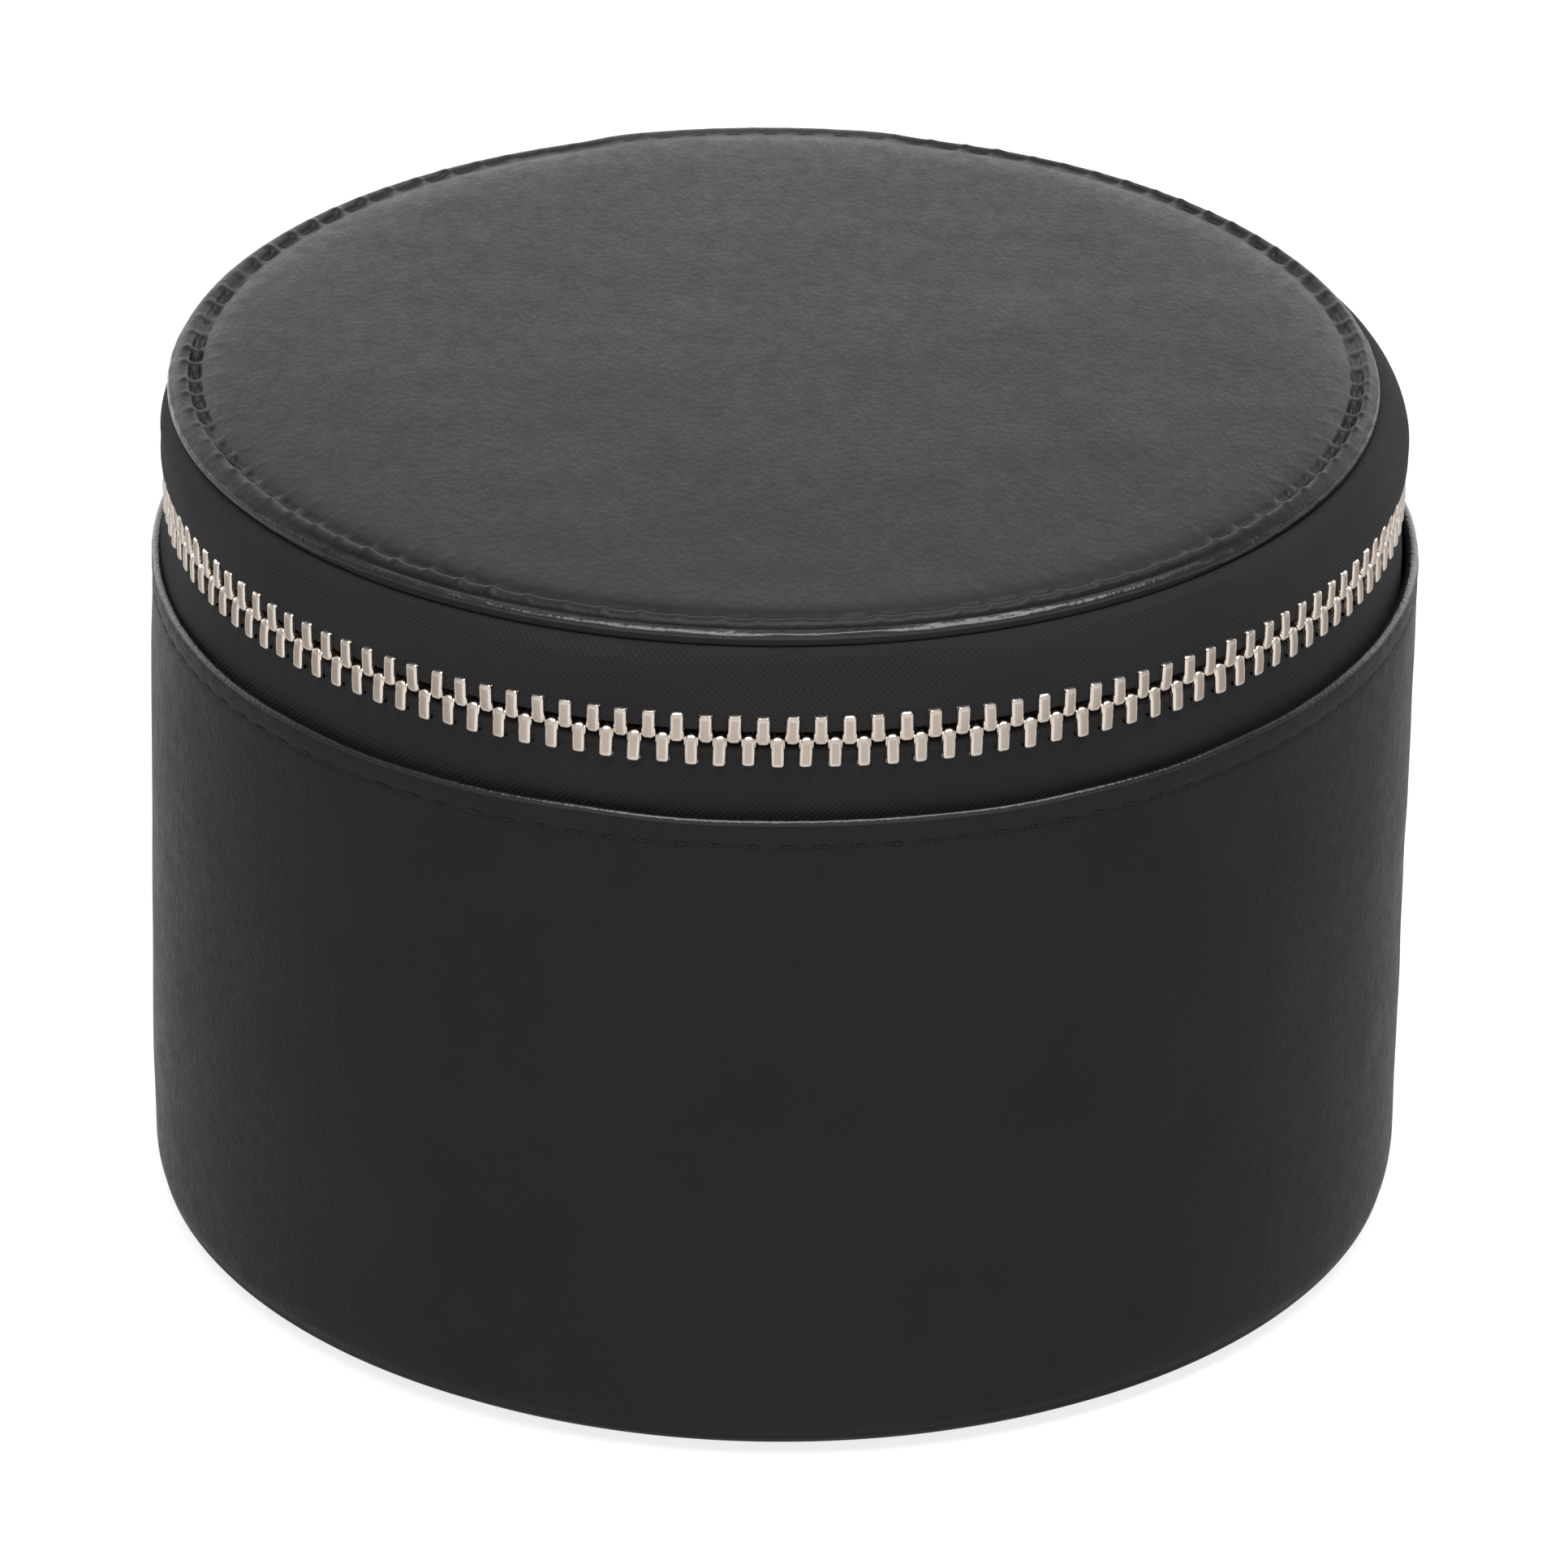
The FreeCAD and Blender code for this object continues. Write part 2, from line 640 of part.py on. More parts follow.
turned(
    "lid_foam",
    [
        (0, d("lidboard_top") + 0.05),
        (49.0, d("lidboard_top") + 0.05),
        (49.0, LTOP - 1.9 - LH),
        (46.0, LTOP - 1.45 - LH),
        (36.0, LTOP - 0.75 - LH),
        (20.0, LTOP - 0.25 - LH),
        (0, LTOP - 0.1 - LH),
    ],
)
turned(
    "lid_board",
    [
        (0, d("lidboard_z")),
        (d("lidboard_rad"), d("lidboard_z")),
        (d("lidboard_rad"), LZ + 1.0),
        (d("lidboard_rad") - 0.6, d("lidboard_top")),
        (0, d("lidboard_top")),
    ],
)
turned(
    "lid_lining",
    [
        (0, d("lidlining_z")),
        (d("lidlining_rad") - 0.5, d("lidlining_z")),
        (d("lidlining_rad"), d("lidlining_z") + 0.5),
        (d("lidlining_rad"), d("lidboard_z") - 0.05),
        (0, d("lidboard_z") - 0.05),
    ],
)
MT, MR = d("mirror_th"), d("mirror_rad")
turned(
    "mirror",
    [
        (0, d("lidlining_z") - 0.05 - MT),
        (MR - 0.3, d("lidlining_z") - 0.05 - MT),
        (MR, d("lidlining_z") - 0.05 - MT + 0.3),
        (MR, d("lidlining_z") - 0.05),
        (0, d("lidlining_z") - 0.05),
    ],
)
FR, FI, FZ = d("frame_rad"), d("frame_in"), d("frame_z")
turned(
    "mirror_frame",
    [
        (MR + 0.2, d("lidlining_z") - 0.05),
        (FR, d("lidlining_z") - 0.05),
        (FR, FZ + 1.2),
        (FR - 1.2, FZ),
        (FI + 0.4, FZ),
        (FI, FZ + 0.4),
        (FI, d("lidlining_z") - 0.05 - MT - 0.1),
        (MR + 0.2, d("lidlining_z") - 0.05 - MT - 0.1),
    ],
)

# ---------------------------------------------------------------- leather hinge, which bends as the lid opens
RZ = d("rim_z")
turned(
    "hinge_leather",
    [
        (TR - 0.1, d("hinge_low")),
        (TR + 0.2, d("hinge_low")),
        (TR + 0.2, RZ + 0.6),
        (R - 0.3, RZ + 2.6),
        (R + 0.5, ZC),
        (R + 0.3, LZ - 2.4),
        (R - 0.4, LZ - 0.2),
        (R - 1.6, LZ + 0.6),
        (LR_ + 0.9, LZ + 0.5),
        (LR_ + 0.2, LZ - 0.1),
        (TR - 3.6, LZ - 0.1),
        (TR - 3.6, LZ - 0.65),
        (LR_ + 0.5, LZ - 0.65),
        (R - 2.0, LZ - 0.75),
        (R - 1.3, LZ - 2.6),
        (R - 0.9, ZC),
        (R - 1.4, RZ + 2.6),
        (TR - 0.1, RZ + 0.8),
    ],
    2.0 * d("hinge_half"),
    "YZ_Plane",
)
turned(
    "hinge_facing",
    [
        (TR - TT - 0.05, d("hinge_low")),
        (TR - 0.15, d("hinge_low")),
        (TR - 0.15, RZ + 0.9),
        (R - 1.45, RZ + 2.7),
        (R - 0.95, ZC),
        (R - 1.35, LZ - 2.65),
        (R - 2.05, LZ - 1.0),
        (TR - 2.4, LZ - 0.7),
        (TR - 2.4, LZ - 1.1),
        (R - 2.6, LZ - 1.4),
        (R - 1.85, LZ - 2.8),
        (R - 1.45, ZC),
        (R - 1.95, RZ + 2.9),
        (TR - TT - 0.05, RZ + 1.2),
    ],
    2.0 * d("hinge_half") - 0.6,
    "YZ_Plane",
)

# ---------------------------------------------------------------- check and write
doc.recompute()
bad = [o.Name for o in doc.Objects if "Invalid" in o.State or "Error" in o.State]
if bad:
    raise SystemExit("failed objects: %s" % bad)
os.makedirs("parts", exist_ok=True)
for o in PIECES:
    s = o.Shape
    if s.isNull() or not s.isValid() or not s.Solids or s.Volume <= 0:
        raise SystemExit("bad shape: %s" % o.Label)
    s.exportStep(os.path.join("parts", o.Label + ".step"))
    b = s.BoundBox
    print(
        "%-24s solids %3d volume %10.2f  x %.2f..%.2f y %.2f..%.2f z %.2f..%.2f"
        % (o.Label, len(s.Solids), s.Volume, b.XMin, b.XMax, b.YMin, b.YMax, b.ZMin, b.ZMax)
    )
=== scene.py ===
# The looks of the round leather jewellery case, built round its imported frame.
# Lengths in this script are millimetres until a mesh is made; angles round the case are
# measured from the front (-Y), positive towards +X.
import math

import bmesh
import bpy
import numpy as np
from mathutils import Matrix, Vector


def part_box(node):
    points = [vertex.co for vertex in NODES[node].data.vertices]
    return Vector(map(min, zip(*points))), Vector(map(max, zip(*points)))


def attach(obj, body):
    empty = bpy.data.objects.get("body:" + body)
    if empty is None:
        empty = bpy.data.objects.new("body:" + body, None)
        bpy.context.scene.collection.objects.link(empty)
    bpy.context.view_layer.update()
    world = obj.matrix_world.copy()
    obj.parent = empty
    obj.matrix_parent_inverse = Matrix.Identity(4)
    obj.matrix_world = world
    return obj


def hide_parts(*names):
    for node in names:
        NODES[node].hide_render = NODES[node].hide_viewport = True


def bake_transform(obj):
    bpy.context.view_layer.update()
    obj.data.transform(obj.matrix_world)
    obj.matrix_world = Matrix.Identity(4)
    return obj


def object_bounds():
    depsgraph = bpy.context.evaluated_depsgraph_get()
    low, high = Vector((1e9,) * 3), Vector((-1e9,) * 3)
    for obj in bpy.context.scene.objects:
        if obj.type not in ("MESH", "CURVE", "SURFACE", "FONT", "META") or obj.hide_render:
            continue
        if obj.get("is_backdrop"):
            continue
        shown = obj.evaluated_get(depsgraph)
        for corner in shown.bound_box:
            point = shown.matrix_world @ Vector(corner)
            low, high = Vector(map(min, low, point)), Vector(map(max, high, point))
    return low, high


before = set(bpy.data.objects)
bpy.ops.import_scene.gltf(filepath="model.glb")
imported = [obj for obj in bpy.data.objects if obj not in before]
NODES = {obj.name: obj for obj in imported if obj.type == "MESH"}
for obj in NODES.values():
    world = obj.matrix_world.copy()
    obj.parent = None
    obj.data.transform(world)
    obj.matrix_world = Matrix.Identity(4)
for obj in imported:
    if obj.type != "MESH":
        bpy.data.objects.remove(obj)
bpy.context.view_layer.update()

MM = 0.001
TAU = 2 * math.pi

# sizes that the frame fixes
BODY_R, RIM_Z = 60.0, 66.1
CHAIN_Z = 73.3
SEAM_R = 53.95
PITCH, PHASE = 2.5, 1.3
SLIDER_DEG = 156.5
BAIL_R = 62.15
# profiles below are drawn for a wall 2.6 mm lower, and everything above its middle is raised by this
RAISE = 2.6


def up(points):
    return [(r, z + (RAISE if z > 52 else 0.0)) for r, z in points]


# ------------------------------------------------------------------ camera
scene = bpy.context.scene
cam_data = bpy.data.cameras.new("camera")
camera = bpy.data.objects.new("camera", cam_data)
scene.collection.objects.link(camera)
scene.camera = camera
FOCAL_PX = 13370.18
cam_data.sensor_width = 36.0
cam_data.lens = FOCAL_PX / 1932.0 * 36.0
cam_data.clip_start, cam_data.clip_end = 0.05, 30.0
elev, pitch, yaw, roll = 0.4480472, 0.4715573, 0.0007588, 0.0089931
dist = 16.99291 * BODY_R * MM
eye = Vector((0, -dist * math.cos(elev), 0.0660 + dist * math.sin(elev)))
fwd = Vector((math.sin(yaw) * math.cos(pitch), math.cos(yaw) * math.cos(pitch), -math.sin(pitch)))
right0 = Vector((math.cos(yaw), -math.sin(yaw), 0))
up0 = right0.cross(fwd)
right = right0 * math.cos(roll) + up0 * math.sin(roll)
above = up0 * math.cos(roll) - right0 * math.sin(roll)
VIEW_DEG = -PITCH  # the hinge sits a little to the left of the line of sight
camera.matrix_world = Matrix.Rotation(math.radians(VIEW_DEG), 4, "Z") @ Matrix((
    (right.x, above.x, -fwd.x, eye.x),
    (right.y, above.y, -fwd.y, eye.y),
    (right.z, above.z, -fwd.z, eye.z),
    (0, 0, 0, 1),
))


# ------------------------------------------------------------------ node material helper
class Mat:
    """A short way to write a node material."""

    def __init__(self, name):
        self.mat = bpy.data.materials.new(name)
        self.mat.use_nodes = True
        self.nt = self.mat.node_tree
        self.nt.nodes.clear()
        self.out = self.nt.nodes.new("ShaderNodeOutputMaterial")
        self.bsdf = self.nt.nodes.new("ShaderNodeBsdfPrincipled")
        self.nt.links.new(self.bsdf.outputs[0], self.out.inputs[0])

    def node(self, kind, **props):
        n = self.nt.nodes.new(kind)
        for k, v in props.items():
            setattr(n, k, v)
        return n

    def put(self, socket, value):
        if isinstance(value, bpy.types.NodeSocket):
            self.nt.links.new(value, socket)
        else:
            socket.default_value = value

    def set(self, **values):
        for key, value in values.items():
            self.put(self.bsdf.inputs[key.replace("_", " ")], value)

    def math(self, op, a, b=None, c=None, clamp=False):
        n = self.node("ShaderNodeMath", operation=op, use_clamp=clamp)
        for i, v in enumerate((a, b, c)):
            if v is not None:
                self.put(n.inputs[i], v)
        return n.outputs[0]

    def coords(self):
        return self.node("ShaderNodeTexCoord").outputs["Object"]

    def uv(self):
        return self.node("ShaderNodeUVMap", uv_map="mm").outputs[0]

    def noise(self, vec, scale, detail=2.0, rough=0.5, distort=0.0):
        n = self.node("ShaderNodeTexNoise")
        self.put(n.inputs["Vector"], vec)
        n.inputs["Scale"].default_value = scale
        n.inputs["Detail"].default_value = detail
        n.inputs["Roughness"].default_value = rough
        n.inputs["Distortion"].default_value = distort
        return n.outputs[0]

    def voronoi(self, vec, scale, feature="F1", rand=1.0, smooth=None):
        n = self.node("ShaderNodeTexVoronoi", feature=feature)
        self.put(n.inputs["Vector"], vec)
        n.inputs["Scale"].default_value = scale
        n.inputs["Randomness"].default_value = rand
        if smooth is not None and "Smoothness" in n.inputs:
            n.inputs["Smoothness"].default_value = smooth
        return n.outputs[0]

    def remap(self, value, a, b, lo, hi, smooth=False):
        n = self.node("ShaderNodeMapRange")
        if smooth:
            n.interpolation_type = "SMOOTHSTEP"
        self.put(n.inputs["Value"], value)
        for key, v in zip(("From Min", "From Max", "To Min", "To Max"), (a, b, lo, hi)):
            self.put(n.inputs[key], v)
        return n.outputs[0]

    def ramp(self, fac, stops):
        n = self.node("ShaderNodeValToRGB")
        els = n.color_ramp.elements
        while len(els) < len(stops):
            els.new(0.5)
        for e, (pos, col) in zip(els, stops):
            e.position = pos
            e.color = (*col, 1.0)
        self.put(n.inputs[0], fac)
        return n.outputs[0]

    def bump(self, height, strength, distance, normal=None):
        n = self.node("ShaderNodeBump")
        n.inputs["Strength"].default_value = strength
        n.inputs["Distance"].default_value = distance
        self.put(n.inputs["Height"], height)
        if normal is not None:
            self.put(n.inputs["Normal"], normal)
        return n.outputs[0]

    def xyz(self, vec):
        n = self.node("ShaderNodeSeparateXYZ")
        self.put(n.inputs[0], vec)
        return n.outputs


def leather(name, uv=False, tone=1.0, rough=0.47, spec=0.25, long_y=1.0, grain=0.27):
    """Black smooth leather: fine pebble grain, pores, soft mottling, edges burnished a little."""
    m = Mat(name)
    p = m.uv() if uv else m.coords()
    if long_y != 1.0:
        q = m.node("ShaderNodeVectorMath", operation="MULTIPLY")
        m.put(q.inputs[0], p)
        q.inputs[1].default_value = (1.0, 1.0 / long_y, 1.0)
        p = q.outputs[0]
    k = 0.001 if uv else 1.0  # the uv map is in millimetres, object space in metres
    cells = m.voronoi(p, 2000 * k, "SMOOTH_F1", 1.0, 0.35)
    fine = m.noise(p, 4200 * k, 3.0, 0.6)
    mid = m.noise(p, 620 * k, 3.0, 0.55)
    big = m.noise(p, 75 * k, 2.0, 0.5)
    h = m.math("ADD", m.math("MULTIPLY", cells, -0.8), m.math("MULTIPLY", fine, 0.25))
    h = m.math("ADD", h, m.math("MULTIPLY", mid, 0.7))
    m.set(Normal=m.bump(h, grain, 0.00016))
    col = m.ramp(
        m.math("ADD", m.math("MULTIPLY", big, 0.6), m.math("MULTIPLY", mid, 0.4)),
        [
            (0.30, (0.0046 * tone, 0.0044 * tone, 0.0046 * tone)),
            (0.70, (0.0090 * tone, 0.0086 * tone, 0.0089 * tone)),
        ],
    )
    m.set(Base_Color=col)
    r = m.math("ADD", m.remap(big, 0.3, 0.7, rough - 0.02, rough + 0.02), m.remap(mid, 0.3, 0.7, -0.05, 0.05))
    m.set(Roughness=m.math("ADD", r, m.remap(cells, 0.0, 0.6, -0.03, 0.04)))
    m.bsdf.inputs["Specular IOR Level"].default_value = spec
    return m.mat


def woven_tape(name):
    """Black zip tape in a herringbone weave; the uv map runs along the tape and across it in mm."""
    m = Mat(name)
    x = m.xyz(m.uv())
    u, v = x[0], x[1]
    zig = m.math("PINGPONG", v, 2.2)
    wob = m.math("MULTIPLY", m.noise(m.coords(), 900, 1.0), 0.22)
    diag = m.math("ADD", m.math("ADD", u, m.math("MULTIPLY", zig, 1.15)), wob)
    rib = m.math("SINE", m.math("MULTIPLY", diag, TAU / 0.62))
    pick = m.math("SINE", m.math("MULTIPLY", v, TAU / 0.36))
    weft = m.math("SINE", m.math("MULTIPLY", u, TAU / 0.31))
    h = m.math("ADD", m.math("MULTIPLY", rib, 0.5), m.math("MULTIPLY", m.math("MULTIPLY", pick, weft), 0.22))
    fuzz = m.noise(m.coords(), 5200, 3.0, 0.65)
    h = m.math("ADD", h, m.math("MULTIPLY", fuzz, 0.5))
    m.set(Normal=m.bump(h, 0.30, 0.00011))
    big = m.noise(m.coords(), 90, 2.0)
    tone = m.math("ADD", m.math("MULTIPLY", m.remap(rib, -1.0, 1.0, 0.0, 1.0), 0.55), m.math("MULTIPLY", big, 0.45))
    m.set(Base_Color=m.ramp(tone, [(0.1, (0.0176, 0.0165, 0.0168)), (0.9, (0.0262, 0.0246, 0.0248))]))
    m.set(Roughness=m.remap(fuzz, 0.3, 0.7, 0.72, 0.9))
    m.bsdf.inputs["Specular IOR Level"].default_value = 0.09
    m.bsdf.inputs["Sheen Weight"].default_value = 0.015
    m.bsdf.inputs["Sheen Roughness"].default_value = 0.5
    return m.mat


def plated(name, rough=0.27):
    """Champagne-gold plating on cast metal, tumbled rather than mirror bright."""
    m = Mat(name)
    p = m.coords()
    a = m.noise(p, 1500, 3.0, 0.6)
    b = m.noise(p, 260, 2.0)
    m.set(Base_Color=m.ramp(b, [(0.3, (0.66, 0.565, 0.495)), (0.7, (0.76, 0.66, 0.585))]))
    m.bsdf.inputs["Metallic"].default_value = 1.0
    m.set(Roughness=m.math("ADD", m.remap(a, 0.3, 0.7, rough - 0.05, rough + 0.07), m.remap(b, 0.3, 0.7, -0.02, 0.03)))
    m.set(Normal=m.bump(a, 0.10, 0.00006))
    return m.mat


def tooth_metal(name):
    """The same plating on the teeth, with a painted highlight: the colour is lighter along the edges and ends of each
    face, darker and duller in the middle.
    """
    m = Mat(name)
    p = m.coords()
    x = m.xyz(m.uv())
    # masks for the edges and ends of each tooth face, where a highlight is painted into the colour
    across = m.remap(m.math("ABSOLUTE", x[0]), 0.22, 0.44, 0.0, 1.0, True)
    ends = m.math("MAXIMUM", m.remap(x[1], 1.95, 2.3, 0.0, 1.0, True), m.remap(x[1], 0.25, -0.1, 0.0, 1.0, True))
    edge_highlight_mask = m.math("MAXIMUM", across, ends)
    a = m.noise(p, 1900, 3.0, 0.6)
    b = m.noise(p, 420, 2.0)
    # painted highlight along the edges, plus random tone from the noise
    f = m.math("ADD", m.math("MULTIPLY", edge_highlight_mask, 0.75), m.math("MULTIPLY", m.math("ADD", a, b), 0.16))
    m.set(Base_Color=m.ramp(f, [(0.08, (0.58, 0.485, 0.41)), (0.55, (0.74, 0.64, 0.56)), (0.95, (0.95, 0.865, 0.785))]))
    m.bsdf.inputs["Metallic"].default_value = 1.0
    m.set(Roughness=m.math("ADD", m.remap(a, 0.3, 0.7, 0.24, 0.36), m.remap(edge_highlight_mask, 0.0, 1.0, 0.06, -0.06)))
    m.set(Normal=m.bump(m.math("ADD", a, m.math("MULTIPLY", b, 1.6)), 0.22, 0.00008))
    return m.mat


def suede(name, dark, light, nap=1.0):
    """Microfibre suede: short nap that shades in soft cloudy patches."""
    m = Mat(name)
    p = m.coords()
    cloud = m.noise(p, 55, 3.0, 0.55, 0.4)
    fine = m.noise(p, 3800, 3.0, 0.7)
    mid = m.noise(p, 750, 3.0, 0.6)
    t = m.math("ADD", m.math("MULTIPLY", cloud, 0.5), m.math("ADD", m.math("MULTIPLY", mid, 0.3), m.math("MULTIPLY", fine, 0.2)))
    m.set(Base_Color=m.ramp(t, [(0.32, dark), (0.68, light)]))
    m.set(Roughness=m.remap(mid, 0.3, 0.7, 0.86, 0.98))
    m.set(Normal=m.bump(m.math("ADD", fine, m.math("MULTIPLY", mid, 0.6)), 0.4 * nap, 0.00016))
    m.bsdf.inputs["Specular IOR Level"].default_value = 0.15
    m.bsdf.inputs["Sheen Weight"].default_value = 0.22
    m.bsdf.inputs["Sheen Roughness"].default_value = 0.45
    return m.mat


def thread(name, dark, light):
    """Twisted polyester sewing thread."""
    m = Mat(name)
    p = m.coords()
    w = m.node("ShaderNodeTexWave", wave_type="BANDS", bands_direction="DIAGONAL")
    m.put(w.inputs["Vector"], p)
    w.inputs["Scale"].default_value = 900.0
    w.inputs["Distortion"].default_value = 1.5
    m.set(Base_Color=m.ramp(w.outputs[0], [(0.2, dark), (0.8, light)]))
    m.set(Roughness=m.remap(m.noise(p, 3000, 2.0), 0.3, 0.7, 0.45, 0.62))
    m.set(Normal=m.bump(w.outputs[0], 0.5, 0.00008))
    m.bsdf.inputs["Specular IOR Level"].default_value = 0.16
    return m.mat


def board(name):
    """Grey binder's board with flecks of fibre."""
    m = Mat(name)
    p = m.coords()
    fleck = m.noise(p, 1400, 4.0, 0.7)
    m.set(Base_Color=m.ramp(fleck, [(0.35, (0.20, 0.18, 0.155)), (0.62, (0.33, 0.30, 0.26))]))
    m.set(Roughness=m.remap(fleck, 0.3, 0.7, 0.85, 0.97))
    m.set(Normal=m.bump(fleck, 0.3, 0.00012))
    return m.mat


def foam(name):
    m = Mat(name)
    p = m.coords()
    cell = m.voronoi(p, 1500, "F1")
    m.set(Base_Color=m.ramp(cell, [(0.1, (0.42, 0.40, 0.35)), (0.6, (0.70, 0.67, 0.60))]))
    m.set(Roughness=m.remap(cell, 0.0, 0.6, 0.85, 0.98))
    m.set(Normal=m.bump(cell, 0.6, 0.0003))
    return m.mat


def silvered(name):
    m = Mat(name)
    p = m.coords()
    n = m.noise(p, 40, 2.0)
    m.set(Base_Color=m.ramp(n, [(0.3, (0.86, 0.87, 0.87)), (0.7, (0.90, 0.91, 0.91))]))
    m.bsdf.inputs["Metallic"].default_value = 1.0
    m.set(Roughness=m.remap(n, 0.3, 0.7, 0.012, 0.03))
    return m.mat


LEATHER = leather("black_leather")
LEATHER_LID = leather("black_leather_lid", rough=0.42, long_y=1.6, grain=0.21)
LEATHER_EDGE = leather("black_leather_edge", rough=0.22, spec=0.70)
LEATHER_UV = leather("black_leather_bending", uv=True)
TAPE = woven_tape("zip_tape_weave")
METAL = plated("champagne_plating")
TOOTH_METAL = tooth_metal("champagne_teeth")
LINING = suede("taupe_suede", (0.185, 0.160, 0.138), (0.270, 0.238, 0.208))
UNDER = suede("black_suede", (0.010, 0.010, 0.010), (0.024, 0.023, 0.023))
THREAD = thread("black_thread", (0.006, 0.006, 0.006), (0.020, 0.020, 0.020))
THREAD_IN = thread("taupe_thread", (0.15, 0.13, 0.11), (0.25, 0.22, 0.19))
BOARD = board("grey_board")
FOAM = foam("pale_foam")
SILVER = silvered("mirror_silver")


# ------------------------------------------------------------------ mesh helpers
def finish_mesh(name, verts, faces, mat, uv=None, sharp=None, weld=False, outward=True, second=None):
    """verts in mm; uv is one pair per face corner, in mm."""
    me = bpy.data.meshes.new(name)
    me.from_pydata([tuple(p) for p in np.asarray(verts, float) * MM], [], faces)
    if uv is not None:
        layer = me.uv_layers.new(name="mm")
        layer.data.foreach_set("uv", np.asarray(uv, np.float32).ravel())
    me.materials.append(mat)
    if second is not None:
        me.materials.append(second[0])
        me.polygons.foreach_set("material_index", second[1])
    if weld or outward:
        bm = bmesh.new()
        bm.from_mesh(me)
        if weld:
            bmesh.ops.remove_doubles(bm, verts=bm.verts, dist=2e-7)
        if outward:
            bmesh.ops.recalc_face_normals(bm, faces=bm.faces)
        bm.to_mesh(me)
        bm.free()
    me.polygons.foreach_set("use_smooth", [True] * len(me.polygons))
    if sharp is not None:
        me.set_sharp_from_angle(angle=math.radians(sharp))
    me.update()
    ob = bpy.data.objects.new(name, me)
    scene.collection.objects.link(ob)
    return ob


def polar(r, a, z, t=0.0):
    """Points at radius r, angle a from the front, height z, moved t along the rim."""
    s, c = np.sin(a), np.cos(a)
    return np.stack([r * s + t * c, -r * c + t * s, z + 0 * r], -1)


def grid_faces(n, m, wrap_n, wrap_m):
    j = np.arange(n if wrap_n else n - 1)
    k = np.arange(m if wrap_m else m - 1)
    J, K = np.meshgrid(j, k, indexing="ij")
    J2, K2 = (J + 1) % n, (K + 1) % m
    f = np.stack([J * m + K, J2 * m + K, J2 * m + K2, J * m + K2], -1).reshape(-1, 4)
    return f, J.ravel(), K.ravel()


def swept(name, r, z, a, mat, wrap=True, loop=True, t=None, u_rad=58.0, weld=False, sharp=None, edge=None, edge_mat=None):
    """A surface of turning: r and z are (angles, profile) in mm. An open sweep gets its two end caps."""
    n, m = r.shape
    pts = polar(r, a[:, None] + 0 * r, z, 0.0 if t is None else t).reshape(-1, 3)
    f, J, K = grid_faces(n, m, wrap, loop)
    seg = np.hypot(np.diff(r[n // 2]), np.diff(z[n // 2]))
    v = np.concatenate([[0], np.cumsum(seg)])
    v_end = v[-1] + math.hypot(r[n // 2, 0] - r[n // 2, -1], z[n // 2, 0] - z[n // 2, -1])
    step = (a[1] - a[0]) if n > 1 else 0
    ua = np.concatenate([a, [a[-1] + step]]) * u_rad
    va = np.concatenate([v, [v_end]])
    uv = np.stack(
        [
            np.stack([ua[J], va[K]], -1),
            np.stack([ua[J + 1], va[K]], -1),
            np.stack([ua[J + 1], va[K + 1]], -1),
            np.stack([ua[J], va[K + 1]], -1),
        ],
        1,
    ).reshape(-1, 2)
    faces = [tuple(int(i) for i in q) for q in f]
    uv = [tuple(x) for x in uv]
    if not wrap and loop:
        faces.append(tuple(range(m)))
        uv += [(ua[0] + (r[0, i] - r[0, 0]), va[i]) for i in range(m)]
        faces.append(tuple(range((n - 1) * m, n * m)))
        uv += [(ua[n - 1] + (r[-1, i] - r[-1, 0]), va[i]) for i in range(m)]
    second = None
    if edge is not None:
        flags = np.zeros(len(faces), np.int32)
        flags[: len(K)] = np.broadcast_to(edge, (n, m))[J % n, K]
        second = (edge_mat, flags)
    return finish_mesh(name, pts, faces, mat, uv, sharp=sharp, weld=weld, second=second)


def spline_basis(ctrl, counts):
    """Weights of an open centripetal Catmull-Rom curve through the control points, as a matrix."""
    P = np.asarray(ctrl, float)
    n = len(P)
    E = np.vstack([2 * np.eye(n)[0] - np.eye(n)[1], np.eye(n), 2 * np.eye(n)[-1] - np.eye(n)[-2]])
    Q = np.vstack([2 * P[0] - P[1], P, 2 * P[-1] - P[-2]])
    knots = np.concatenate([[0], np.cumsum(np.sqrt(np.maximum(np.linalg.norm(np.diff(Q, axis=0), axis=1), 1e-6)))])
    rows = []
    for i in range(n - 1):
        t0, t1, t2, t3 = knots[i : i + 4]
        c = counts[i] if hasattr(counts, "__len__") else counts
        for s in range(c):
            t = t1 + (t2 - t1) * s / c
            a1 = (t1 - t) / (t1 - t0) * E[i] + (t - t0) / (t1 - t0) * E[i + 1]
            a2 = (t2 - t) / (t2 - t1) * E[i + 1] + (t - t1) / (t2 - t1) * E[i + 2]
            a3 = (t3 - t) / (t3 - t2) * E[i + 2] + (t - t2) / (t3 - t2) * E[i + 3]
            b1 = (t2 - t) / (t2 - t0) * a1 + (t - t0) / (t2 - t0) * a2
            b2 = (t3 - t) / (t3 - t1) * a2 + (t - t1) / (t3 - t1) * a3
            rows.append((t2 - t) / (t2 - t1) * b1 + (t - t1) / (t2 - t1) * b2)
    rows.append(np.eye(n)[-1])
    return np.array(rows)


def wobble(seed, waves, lo, hi, height):
    """A smooth field that closes round the case: waves of lo..hi turns, varying over the given height in mm."""
    rng = np.random.default_rng(seed)
    k = rng.integers(lo, hi + 1, waves)
    mz = rng.normal(0, TAU / height, waves)
    ph = rng.uniform(0, TAU, waves)
    w = rng.uniform(0.5, 1.0, waves)
    w /= math.sqrt((w**2).sum() / 2)

    def field(a, z):
        out = 0.0
        for i in range(waves):
            out = out + w[i] * np.sin(k[i] * a + mz[i] * z + ph[i])
        return out

    return field


